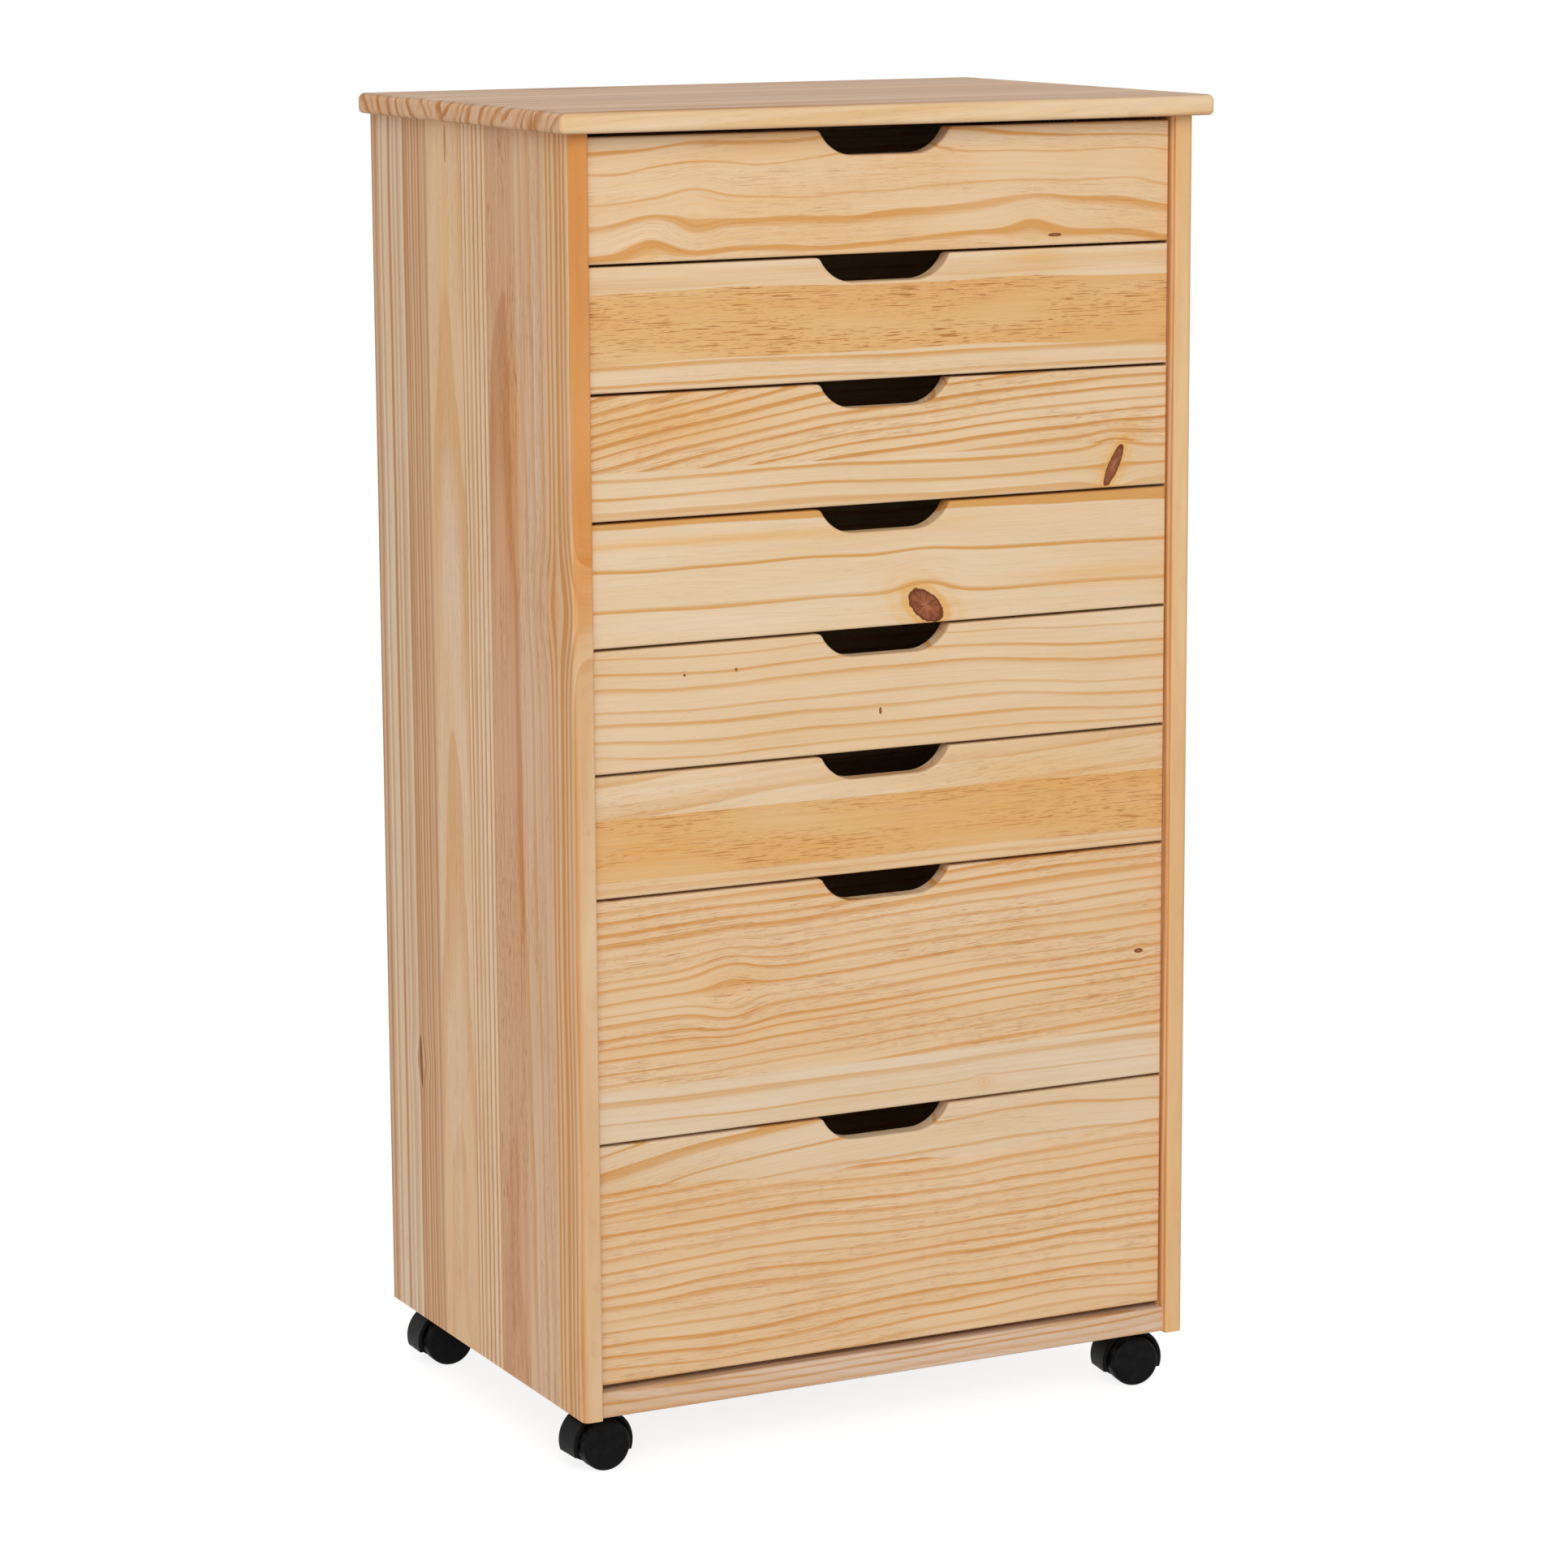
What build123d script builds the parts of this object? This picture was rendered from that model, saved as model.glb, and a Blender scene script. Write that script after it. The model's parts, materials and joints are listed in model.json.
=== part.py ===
from build123d import *
from math import cos, radians, sin
import os

# Rolling drawer cart in solid pine: a cabinet on four twin-wheel casters, with eight drawers.
# Millimetres, Z up. The origin is on the floor under the middle of the cart, and the front faces -Y.

# Cabinet boards
cabinet_width = 527.0
cabinet_depth = 382.0
side_thick = 16.0
side_outer_round = 5.0
side_inner_round = 2.0
top_thick = 16.0
top_side_overhang = 11.0
top_front_overhang = 13.0
top_upper_round = 5.0
top_lower_round = 4.0
top_corner_round = 4.0
bottom_thick = 20.0
bottom_set_back = 5.0
bottom_edge_round = 2.0
back_thick = 4.0
back_recess = 1.0
back_lip = 8.0
back_play = 0.3

# Cabinet fastenings: glued dowels, and cam discs that draw in a bolt's head
joint_play = 0.1
end_play = 0.5
dowel_diameter = 8.0
dowel_length = 28.0
dowel_in_face = 10.0
dowel_edge_inset = 66.0
cam_diameter = 15.0
cam_set_in = 24.0
cam_edge_inset = 106.0
cam_slot = 8.0
bolt_diameter = 6.0
bolt_head_diameter = 7.5
bolt_head_length = 3.0
bolt_thread_length = 10.0
bolt_hole_diameter = 8.0

# Drawers, counted from the top
shallow_count = 6
deep_count = 2
shallow_front_height = 92.3
deep_front_height = 186.3
gap_between_fronts = 2.2
gap_under_top = 3.7
gap_over_bottom = 4.5
front_side_gap = 1.0
front_set_back = 9.0
front_thick = 15.0
front_edge_round = 2.0
front_inner_round = 1.0
notch_width = 110.0
notch_flat = 52.0
notch_depth = 19.0
notch_shoulder_round = 4.0

# Drawer boxes behind the fronts
box_drop = 16.3
box_rise = 6.0
box_side_gap = 1.5
box_side_thick = 12.0
box_back_thick = 12.0
box_back_space = 11.0
box_edge_round = 1.5
box_housing = 5.0
floor_thick = 4.0
floor_rise = 8.0
floor_groove = 5.0
floor_play = 0.2

# Wooden runners on the side panels, which ride in a groove along each drawer side
runner_thick = 8.0
runner_height = 14.0
runner_drop = 24.0
runner_top_play = 0.2
runner_lower_play = 1.0
runner_side_play = 0.5
runner_stop_gap = 0.5
runner_back_space = 3.0

# Twin-wheel casters
wheel_diameter = 40.0
wheel_width = 14.0
wheel_rim_round = 3.0
wheel_crown = 1.0
wheel_inner_chamfer = 1.0
wheel_side_gap = 0.5
wheel_well_gap = 2.5
wheel_rim_wall = 4.0
wheel_face_wall = 5.0
wheel_hub_wall = 4.0
hood_wall = 3.0
hood_width = 27.0
hood_skirt = 8.0
hood_edge_chamfer = 0.8
web_thick = 6.0
caster_trail = 10.0
running_fit = 0.05
axle_diameter = 5.0
axle_in_wheel = 11.5
stem_diameter = 8.0
stem_in_hood = 14.0
stem_in_insert = 15.0
stem_collar_diameter = 16.0
stem_collar_thick = 2.0
swivel_gap = 0.3
boss_wall = 3.0
boss_floor = 2.0
boss_rise = 0.2
insert_wall = 2.0
insert_length = 17.0
caster_side_inset = 38.0
caster_front_inset = 43.0
caster_back_inset = 33.0
caster_turns = {"front_left": 183.0, "back_left": 179.0, "front_right": -7.5, "back_right": 4.0}

# Heights and places that follow from the sizes above
wheel_radius = wheel_diameter / 2
hood_inner_radius = wheel_radius + wheel_well_gap
hood_outer_radius = hood_inner_radius + hood_wall
boss_top = wheel_radius + hood_outer_radius + boss_rise
cabinet_bottom = boss_top + swivel_gap + stem_collar_thick

front_heights = [shallow_front_height] * shallow_count + [deep_front_height] * deep_count
fronts_height = sum(front_heights) + gap_between_fronts * (len(front_heights) - 1)
side_height = bottom_thick + gap_over_bottom + fronts_height + gap_under_top
cabinet_top = cabinet_bottom + side_height
front_bottoms = []
next_top = cabinet_top - gap_under_top
for front_height in front_heights:
    front_bottoms.append(next_top - front_height)
    next_top -= front_height + gap_between_fronts

overall_depth = cabinet_depth + top_front_overhang
top_front = -overall_depth / 2
panel_front = top_front + top_front_overhang
panel_back = panel_front + cabinet_depth
back_face = panel_back - back_recess - back_thick
outer_half = cabinet_width / 2
inner_half = outer_half - side_thick

front_face = panel_front + front_set_back
front_back = front_face + front_thick
front_half = inner_half - front_side_gap
box_half = inner_half - box_side_gap
box_inner_half = box_half - box_side_thick
box_end = back_face - box_back_space
runner_start = front_back + runner_stop_gap
runner_end = back_face - runner_back_space

dowel_rows = (panel_front + dowel_edge_inset, panel_back - dowel_edge_inset)
cam_rows = (panel_front + cam_edge_inset, panel_back - cam_edge_inset)
side_middle = outer_half - side_thick / 2
bottom_middle = cabinet_bottom + bottom_thick / 2
dowel_hole_radius = dowel_diameter / 2 + joint_play
bolt_reach = cam_set_in + bolt_head_length / 2
bolt_hole_depth = cam_set_in + cam_diameter / 2
cam_in_side = side_thick / 2 + cam_slot / 2
cam_in_bottom = bottom_thick / 2 + cam_slot / 2


def hand_over(piece, name):
    """Labels a finished piece and writes it to its own file."""
    piece.part.label = name
    export_step(piece.part, f"parts/{name}.step")


def facing(direction, x, y, z):
    """A work plane at a point, whose normal is the given direction."""
    return Plane(origin=(x, y, z), z_dir=direction)


def block(x_span, y_span, z_span, mode=Mode.ADD):
    """A square-edged board between two limits on each axis."""
    with BuildSketch(Plane.XY.offset(z_span[0])) as footprint:
        with Locations(((x_span[0] + x_span[1]) / 2, (y_span[0] + y_span[1]) / 2)):
            Rectangle(x_span[1] - x_span[0], y_span[1] - y_span[0])
    extrude(footprint.sketch, amount=z_span[1] - z_span[0], mode=mode)


def rod(plane, radius, length, mode=Mode.ADD):
    """A round bar, or with Mode.SUBTRACT a bore, that starts on a plane and follows its normal."""
    with BuildSketch(plane) as disc:
        Circle(radius)
    extrude(disc.sketch, amount=length, mode=mode)


def drill(direction, points, radius, depth):
    """Round blind holes of one size that start at the given points."""
    for x, y, z in points:
        rod(facing(direction, x, y, z), radius, depth, Mode.SUBTRACT)


os.makedirs("parts", exist_ok=True)
up, down = (0, 0, 1), (0, 0, -1)
both_sides = (-1, 1)

# Places of the joints: in the side panels' top ends, and in the ends of the bottom board
top_dowels = [(side * side_middle, y, cabinet_top) for side in both_sides for y in dowel_rows]
top_bolts = [(side * side_middle, y, cabinet_top) for side in both_sides for y in cam_rows]

# Top board: overhangs the front and both sides, with every edge eased by hand-feel rounds
with BuildPart() as top_panel:
    top_half = outer_half + top_side_overhang
    block((-top_half, top_half), (top_front, panel_back), (cabinet_top, cabinet_top + top_thick))
    fillet(top_panel.edges().filter_by(Axis.Z), top_corner_round)
    fillet(top_panel.faces().sort_by(Axis.Z)[-1].edges(), top_upper_round)
    fillet(top_panel.faces().sort_by(Axis.Z)[0].edges(), top_lower_round)
    drill(up, top_dowels, dowel_hole_radius, dowel_in_face + end_play)
    drill(up, top_bolts, bolt_diameter / 2 + joint_play, bolt_thread_length + end_play)
hand_over(top_panel, "top_panel")

# Side panels: rounded front edges, a rebate behind for the back panel, and the joint holes
for side, side_name in zip(both_sides, ("left", "right")):
    outward = (side, 0, 0)
    inner_face = side * inner_half
    with BuildPart() as side_panel:
        block(
            sorted((side * outer_half, inner_face)),
            (panel_front, panel_back),
            (cabinet_bottom, cabinet_top),
        )
        front_edges = side_panel.edges().filter_by(Axis.Z).group_by(Axis.Y)[0].sort_by(Axis.X)
        outer_edge, inner_edge = front_edges[::-side]
        fillet(outer_edge, side_outer_round)
        fillet(inner_edge, side_inner_round)
        block(
            sorted((inner_face, side * (inner_half + back_lip))),
            (back_face, panel_back),
            (cabinet_bottom, cabinet_top),
            Mode.SUBTRACT,
        )
        dowel_in_end = dowel_length - dowel_in_face
        drill(down, [(side * side_middle, y, cabinet_top) for y in dowel_rows],
              dowel_hole_radius, dowel_in_end + end_play)
        drill(down, [(side * side_middle, y, cabinet_top) for y in cam_rows],
              bolt_hole_diameter / 2, bolt_hole_depth)
        drill(outward, [(inner_face, y, cabinet_top - cam_set_in) for y in cam_rows],
              cam_diameter / 2 + joint_play, cam_in_side + end_play)
        drill(outward, [(inner_face, y, bottom_middle) for y in dowel_rows],
              dowel_hole_radius, dowel_in_face + end_play)
        drill(outward, [(inner_face, y, bottom_middle) for y in cam_rows],
              bolt_diameter / 2 + joint_play, bolt_thread_length + end_play)
    hand_over(side_panel, f"{side_name}_side_panel")

# Bottom board: stands between the sides, ties them together and carries the casters
caster_places = {}
for name, turn in caster_turns.items():
    across = -1 if name.endswith("left") else 1
    stem_y = panel_front + caster_front_inset if name.startswith("front") else panel_back - caster_back_inset
    caster_places[name] = (across * (outer_half - caster_side_inset), stem_y)
insert_radius = stem_diameter / 2 + running_fit + insert_wall

with BuildPart() as bottom_panel:
    block(
        (-inner_half, inner_half),
        (panel_front + bottom_set_back, back_face),
        (cabinet_bottom, cabinet_bottom + bottom_thick),
    )
    fillet(bottom_panel.edges().filter_by(Axis.X).group_by(Axis.Y)[0], bottom_edge_round)
    for side in both_sides:
        inward = (-side, 0, 0)
        end_face = side * inner_half
        drill(inward, [(end_face, y, bottom_middle) for y in dowel_rows],
              dowel_hole_radius, dowel_length - dowel_in_face + end_play)
        drill(inward, [(end_face, y, bottom_middle) for y in cam_rows],
              bolt_hole_diameter / 2, bolt_hole_depth)
        drill(up, [(side * (inner_half - cam_set_in), y, cabinet_bottom) for y in cam_rows],
              cam_diameter / 2 + joint_play, cam_in_bottom + end_play)
    drill(up, [(x, y, cabinet_bottom) for x, y in caster_places.values()],
          insert_radius + joint_play, insert_length + end_play)
hand_over(bottom_panel, "bottom_panel")

# Back panel: thin plywood that lies in the rebates of the two sides and squares the cabinet
with BuildPart() as back_panel:
    back_half = inner_half + back_lip - back_play
    back_heights = (cabinet_bottom, cabinet_top - back_play)
    block((-back_half, back_half), (back_face, back_face + back_thick), back_heights)
hand_over(back_panel, "back_panel")

# Dowels, cam discs and bolts that hold the top and the bottom to the side panels
with BuildPart() as carcass_dowels:
    for side in both_sides:
        for y in dowel_rows:
            rod(facing(down, side * side_middle, y, cabinet_top + dowel_in_face),
                dowel_diameter / 2, dowel_length)
            rod(facing((-side, 0, 0), side * (inner_half + dowel_in_face), y, bottom_middle),
                dowel_diameter / 2, dowel_length)
hand_over(carcass_dowels, "carcass_dowels")

with BuildPart() as cam_bolts:
    for side in both_sides:
        for y in cam_rows:
            joint_planes = (
                facing(down, side * side_middle, y, cabinet_top),
                facing((-side, 0, 0), side * inner_half, y, bottom_middle),
            )
            for joint_plane in joint_planes:
                rod(joint_plane.offset(-bolt_thread_length), bolt_diameter / 2,
                    bolt_thread_length + bolt_reach)
                rod(joint_plane.offset(bolt_reach - bolt_head_length), bolt_head_diameter / 2,
                    bolt_head_length)
hand_over(cam_bolts, "cam_bolts")

with BuildPart() as cam_locks:
    half_slot = cam_slot / 2
    cam_height = cabinet_top - cam_set_in
    for side in both_sides:
        for y in cam_rows:
            slot_y = (y - half_slot, y + half_slot)
            rod(facing((side, 0, 0), side * inner_half, y, cam_height), cam_diameter / 2, cam_in_side)
            slot_x = sorted((side * (side_middle - half_slot), side * (inner_half + cam_in_side)))
            slot_z = (cam_height - half_slot, cam_height + cam_diameter / 2)
            block(slot_x, slot_y, slot_z, Mode.SUBTRACT)
            lower_x = side * (inner_half - cam_set_in)
            rod(facing(up, lower_x, y, cabinet_bottom), cam_diameter / 2, cam_in_bottom)
            slot_x = sorted((lower_x - side * half_slot, lower_x + side * cam_diameter / 2))
            slot_z = (bottom_middle - half_slot, bottom_middle + half_slot)
            block(slot_x, slot_y, slot_z, Mode.SUBTRACT)
hand_over(cam_locks, "cam_locks")

# Runners: one hardwood strip for each drawer on each side panel, its front end stopping the drawer
runner_tops = [
    low + height - box_drop - runner_drop for low, height in zip(front_bottoms, front_heights)
]
for side, side_name in zip(both_sides, ("left", "right")):
    with BuildPart() as runners:
        runner_x = sorted((side * inner_half, side * (inner_half - runner_thick)))
        for runner_top in runner_tops:
            block(runner_x, (runner_start, runner_end), (runner_top - runner_height, runner_top))
    hand_over(runners, f"{side_name}_runners")


def drawer_front(low, height):
    """Drawer front: one board with a finger notch, housings for the sides and a groove for the floor."""
    outside = Plane(origin=(0, front_face, low), x_dir=(1, 0, 0), z_dir=(0, -1, 0))
    with BuildPart() as front:
        with BuildSketch(outside) as outline:
            with Locations((0, height / 2)):
                Rectangle(2 * front_half, height)
            with BuildLine():
                floor_line = Line((-notch_flat / 2, height - notch_depth), (notch_flat / 2, height - notch_depth))
                right_side = TangentArc(floor_line @ 1, (notch_width / 2, height), tangent=(1, 0))
                left_side = TangentArc(floor_line @ 0, (-notch_width / 2, height), tangent=(-1, 0))
                Line(right_side @ 1, left_side @ 1)
            make_face(mode=Mode.SUBTRACT)
            shoulders = outline.vertices().group_by(Axis.Y)[-1].sort_by(Axis.X)[1:3]
            fillet(shoulders, notch_shoulder_round)
        extrude(amount=-front_thick)
        fillet(front.faces().sort_by(Axis.Y)[0].edges(), front_edge_round)
        fillet(front.faces().sort_by(Axis.Y)[-1].edges(), front_inner_round)
        for side in both_sides:
            block(
                sorted((side * box_half, side * box_inner_half)),
                (front_back - box_housing, front_back),
                (low + box_rise, low + height - box_drop),
                Mode.SUBTRACT,
            )
        floor_half = box_inner_half + floor_groove
        floor_low = low + box_rise + floor_rise
        block(
            (-floor_half, floor_half),
            (front_back - floor_groove, front_back),
            (floor_low, floor_low + floor_thick + floor_play),
            Mode.SUBTRACT,
        )
    return front


def drawer_sides(low, height):
    """The two sides of a drawer box, each grooved outside for its runner and inside for the floor."""
    side_low = low + box_rise
    side_high = low + height - box_drop
    floor_low = side_low + floor_rise
    groove_high = side_high - runner_drop + runner_top_play
    groove_low = groove_high - runner_top_play - runner_height - runner_lower_play
    groove_face = inner_half - runner_thick - runner_side_play
    side_start = front_back - box_housing
    with BuildPart() as sides:
        for side in both_sides:
            block(
                sorted((side * box_half, side * box_inner_half)),
                (side_start, box_end),
                (side_low, side_high),
            )
        fillet(sides.faces().group_by(Axis.Z)[-1].edges().filter_by(Axis.Y), box_edge_round)
        for side in both_sides:
            block(
                sorted((side * box_half, side * groove_face)),
                (side_start, box_end),
                (groove_low, groove_high),
                Mode.SUBTRACT,
            )
            block(
                sorted((side * box_inner_half, side * (box_inner_half + floor_groove))),
                (side_start, box_end),
                (floor_low, floor_low + floor_thick + floor_play),
                Mode.SUBTRACT,
            )
    return sides


def drawer_back(low, height):
    """The back of a drawer box, which stands on the floor between the two sides."""
    with BuildPart() as back:
        block(
            (-box_inner_half, box_inner_half),
            (box_end - box_back_thick, box_end),
            (low + box_rise + floor_rise + floor_thick, low + height - box_drop),
        )
        fillet(back.faces().sort_by(Axis.Z)[-1].edges().filter_by(Axis.X), box_edge_round)
    return back


def drawer_floor(low):
    """Plywood floor, slid into the grooves of the sides and the front."""
    floor_half = box_inner_half + floor_groove - floor_play
    floor_low = low + box_rise + floor_rise
    with BuildPart() as floor:
        block(
            (-floor_half, floor_half),
            (front_back - floor_groove + floor_play, box_end),
            (floor_low, floor_low + floor_thick),
        )
    return floor


for number, (low, height) in enumerate(zip(front_bottoms, front_heights), start=1):
    hand_over(drawer_front(low, height), f"drawer_{number}_front")
    hand_over(drawer_sides(low, height), f"drawer_{number}_sides")
    hand_over(drawer_back(low, height), f"drawer_{number}_back")
    hand_over(drawer_floor(low), f"drawer_{number}_floor")

# Caster inserts in the bottom board, and the steel stems that the hoods turn on
stem_radius = stem_diameter / 2
with BuildPart() as caster_inserts:
    for x, y in caster_places.values():
        mouth = facing(up, x, y, cabinet_bottom)
        rod(mouth, insert_radius, insert_length)
        rod(mouth, stem_radius + running_fit, stem_in_insert + end_play, Mode.SUBTRACT)
hand_over(caster_inserts, "caster_inserts")

with BuildPart() as caster_stems:
    collar_low = cabinet_bottom - stem_collar_thick
    for x, y in caster_places.values():
        rod(facing(up, x, y, boss_top - stem_in_hood), stem_radius,
            cabinet_bottom + stem_in_insert - (boss_top - stem_in_hood))
        rod(facing(up, x, y, collar_low), stem_collar_diameter / 2, stem_collar_thick)
hand_over(caster_stems, "caster_stems")

# Sizes that the caster's hood, axle and wheels share
boss_radius = stem_radius + running_fit + boss_wall
boss_low = boss_top - stem_in_hood - end_play - boss_floor
wheel_inner = boss_radius + wheel_side_gap
wheel_outer = wheel_inner + wheel_width
axle_half = wheel_inner + axle_in_wheel
axle_radius = axle_diameter / 2
hub_radius = axle_radius + running_fit + wheel_hub_wall


def caster_hood(side_view, stem_x, stem_y):
    """Moulded hood: a fender over both wheels, a web between them, an axle hub and a stem boss."""
    reach = 2 * hood_outer_radius
    with BuildPart() as hood:
        with BuildSketch(side_view):
            Circle(hood_outer_radius)
            Circle(hood_inner_radius, mode=Mode.SUBTRACT)
            with Locations((0, -hood_skirt - reach / 2)):
                Rectangle(reach, reach, mode=Mode.SUBTRACT)
        extrude(amount=hood_width / 2, both=True)
        rims = hood.edges().filter_by(GeomType.CIRCLE)
        outer_rims = rims.filter_by(lambda edge: edge.radius > hood_inner_radius + hood_wall / 2)
        chamfer(outer_rims, hood_edge_chamfer)
        with BuildSketch(side_view):
            Circle(hood_inner_radius + hood_wall / 2)
            with Locations((0, -hood_skirt - reach / 2)):
                Rectangle(reach, reach, mode=Mode.SUBTRACT)
        extrude(amount=web_thick / 2, both=True)
        with BuildSketch(side_view):
            Circle(hub_radius)
        extrude(amount=boss_radius, both=True)
        rod(facing(up, stem_x, stem_y, boss_low), boss_radius, boss_top - boss_low)
        rod(facing(down, stem_x, stem_y, boss_top), stem_radius + running_fit,
            stem_in_hood + end_play, Mode.SUBTRACT)
        with BuildSketch(side_view):
            Circle(axle_radius + running_fit)
        extrude(amount=boss_radius, both=True, mode=Mode.SUBTRACT)
    return hood


def caster_axle(side_view):
    """Steel axle pin, held in the hood's hub, with one wheel on each end."""
    with BuildPart() as axle:
        with BuildSketch(side_view):
            Circle(axle_radius)
        extrude(amount=axle_half, both=True)
    return axle


def caster_wheel(section):
    """Wheel turned about the axle: crowned closed face, rounded rim, and a hollow behind it."""
    face_edge = wheel_outer - wheel_crown
    hollow_end = wheel_outer - wheel_face_wall
    bore_radius = axle_radius + running_fit
    bore_end = axle_half + end_play
    rim_inner_radius = wheel_radius - wheel_rim_wall
    with BuildPart() as wheel:
        with BuildSketch(section):
            with BuildLine():
                tread = Polyline(
                    (bore_end, 0),
                    (bore_end, bore_radius),
                    (wheel_inner, bore_radius),
                    (wheel_inner, hub_radius),
                    (hollow_end, hub_radius),
                    (hollow_end, rim_inner_radius),
                    (wheel_inner, rim_inner_radius),
                    (wheel_inner, wheel_radius - wheel_inner_chamfer),
                    (wheel_inner + wheel_inner_chamfer, wheel_radius),
                    (face_edge - wheel_rim_round, wheel_radius),
                )
                rim = TangentArc(tread @ 1, (face_edge, wheel_radius - wheel_rim_round), tangent=(1, 0))
                Polyline(rim @ 1, (wheel_outer, 0), tread @ 0)
            make_face()
        revolve(axis=Axis(section.origin, section.x_dir))
    return wheel


for name, turn in caster_turns.items():
    stem_x, stem_y = caster_places[name]
    outward = (cos(radians(turn)), sin(radians(turn)), 0)
    across = (sin(radians(turn)), -cos(radians(turn)), 0)
    axle_middle = (stem_x + caster_trail * outward[0], stem_y + caster_trail * outward[1], wheel_radius)
    side_view = Plane(origin=axle_middle, x_dir=outward, z_dir=across)
    hand_over(caster_hood(side_view, stem_x, stem_y), f"{name}_caster_hood")
    hand_over(caster_axle(side_view), f"{name}_caster_axle")
    towards_front = across if across[1] < 0 else tuple(-part for part in across)
    towards_back = tuple(-part for part in towards_front)
    for wheel_name, direction in (("front", towards_front), ("back", towards_back)):
        section = Plane(origin=axle_middle, x_dir=direction, z_dir=Vector(direction).cross(Vector(0, 0, 1)))
        hand_over(caster_wheel(section), f"{name}_caster_{wheel_name}_wheel")
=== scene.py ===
import json
import math

import bpy
from mathutils import Matrix, Vector


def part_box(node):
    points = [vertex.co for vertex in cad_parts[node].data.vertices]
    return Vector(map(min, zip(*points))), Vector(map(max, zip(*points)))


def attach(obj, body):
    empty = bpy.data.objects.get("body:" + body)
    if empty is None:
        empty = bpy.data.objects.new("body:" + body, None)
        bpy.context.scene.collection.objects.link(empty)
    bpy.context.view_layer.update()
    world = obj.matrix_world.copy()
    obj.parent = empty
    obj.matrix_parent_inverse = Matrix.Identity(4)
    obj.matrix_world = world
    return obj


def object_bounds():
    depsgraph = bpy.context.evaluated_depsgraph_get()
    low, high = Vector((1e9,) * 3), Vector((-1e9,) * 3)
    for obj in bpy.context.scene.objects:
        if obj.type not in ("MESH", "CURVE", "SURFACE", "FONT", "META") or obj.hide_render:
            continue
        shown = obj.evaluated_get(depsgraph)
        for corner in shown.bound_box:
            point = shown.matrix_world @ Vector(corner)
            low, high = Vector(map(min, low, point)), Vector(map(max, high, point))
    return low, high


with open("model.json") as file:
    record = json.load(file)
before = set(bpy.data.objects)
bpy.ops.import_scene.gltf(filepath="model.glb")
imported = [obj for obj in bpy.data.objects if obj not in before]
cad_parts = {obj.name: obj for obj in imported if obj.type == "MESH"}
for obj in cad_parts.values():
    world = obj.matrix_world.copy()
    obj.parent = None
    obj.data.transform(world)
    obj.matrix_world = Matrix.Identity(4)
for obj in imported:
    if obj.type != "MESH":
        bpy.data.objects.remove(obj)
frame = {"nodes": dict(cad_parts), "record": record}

cad_low, cad_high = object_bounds()

# Side panels
# Two boards glued up from upright pine strips, planed, rounded along the front and clear-lacquered.
# Dowels and cam bolts in their ends hold the top board above and the bottom board between them.


class Signal:
    """A number or vector that runs through a shader tree, so that its sums read as plain arithmetic."""

    def __init__(self, tree, socket):
        self.tree = tree
        self.socket = socket

    def step(self, operation, *others):
        """One step of arithmetic."""
        maths = self.tree.nodes.new("ShaderNodeMath")
        maths.operation = operation
        for socket, value in zip(maths.inputs, (self, *others)):
            feed(self.tree, socket, value)
        return Signal(self.tree, maths.outputs["Value"])

    def __add__(self, other):
        return self.step("ADD", other)

    def __sub__(self, other):
        return self.step("SUBTRACT", other)

    def __mul__(self, other):
        return self.step("MULTIPLY", other)

    def __truediv__(self, other):
        return self.step("DIVIDE", other)

    def split(self):
        """The three parts of a vector."""
        parts = self.tree.nodes.new("ShaderNodeSeparateXYZ")
        fill(self.tree, parts, Vector=self)
        return [Signal(self.tree, parts.outputs[axis]) for axis in "XYZ"]

    def dot(self, vector):
        """How far a vector reaches along another."""
        product = self.tree.nodes.new("ShaderNodeVectorMath")
        product.operation = "DOT_PRODUCT"
        feed(self.tree, product.inputs[0], self)
        feed(self.tree, product.inputs[1], vector)
        return Signal(self.tree, product.outputs["Value"])

    def ease(self, low, high):
        """0 below one value, 1 above another, with a soft ramp between them."""
        ramp = self.tree.nodes.new("ShaderNodeMapRange")
        ramp.interpolation_type = "SMOOTHSTEP"
        fill(self.tree, ramp, Value=self, From_Min=low, From_Max=high)
        return Signal(self.tree, ramp.outputs["Result"])

    def opposite(self):
        """What is left of one."""
        return self * -1.0 + 1.0

    def chance(self):
        """A fixed random number from 0 to 1 for each value."""
        dice = self.tree.nodes.new("ShaderNodeTexWhiteNoise")
        dice.noise_dimensions = "1D"
        fill(self.tree, dice, W=self)
        return Signal(self.tree, dice.outputs["Value"])


def feed(tree, socket, value):
    """Links a signal or an outlet to a socket, or sets the socket to a plain value."""
    outlet = value.socket if isinstance(value, Signal) else value
    if isinstance(outlet, bpy.types.NodeSocket):
        tree.links.new(outlet, socket)
    else:
        socket.default_value = value


def fill(tree, node, **values):
    """Feeds a node's inputs by name, with underscores for spaces."""
    for name, value in values.items():
        feed(tree, node.inputs[name.replace("_", " ")], value)


def join(tree, x, y, z):
    """Three signals as one vector."""
    vector = tree.nodes.new("ShaderNodeCombineXYZ")
    for socket, value in zip(vector.inputs, (x, y, z)):
        feed(tree, socket, value)
    return Signal(tree, vector.outputs["Vector"])


def stretched_noise(tree, place, stretch, detail=2.0):
    """Soft noise from 0 to 1, with its own number of waves a metre along each axis."""
    scaled = tree.nodes.new("ShaderNodeVectorMath")
    scaled.operation = "MULTIPLY"
    feed(tree, scaled.inputs[0], place)
    feed(tree, scaled.inputs[1], stretch)
    noise = tree.nodes.new("ShaderNodeTexNoise")
    fill(tree, noise, Vector=scaled.outputs["Vector"], Scale=1.0, Detail=detail)
    return Signal(tree, noise.outputs["Fac"])


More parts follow.
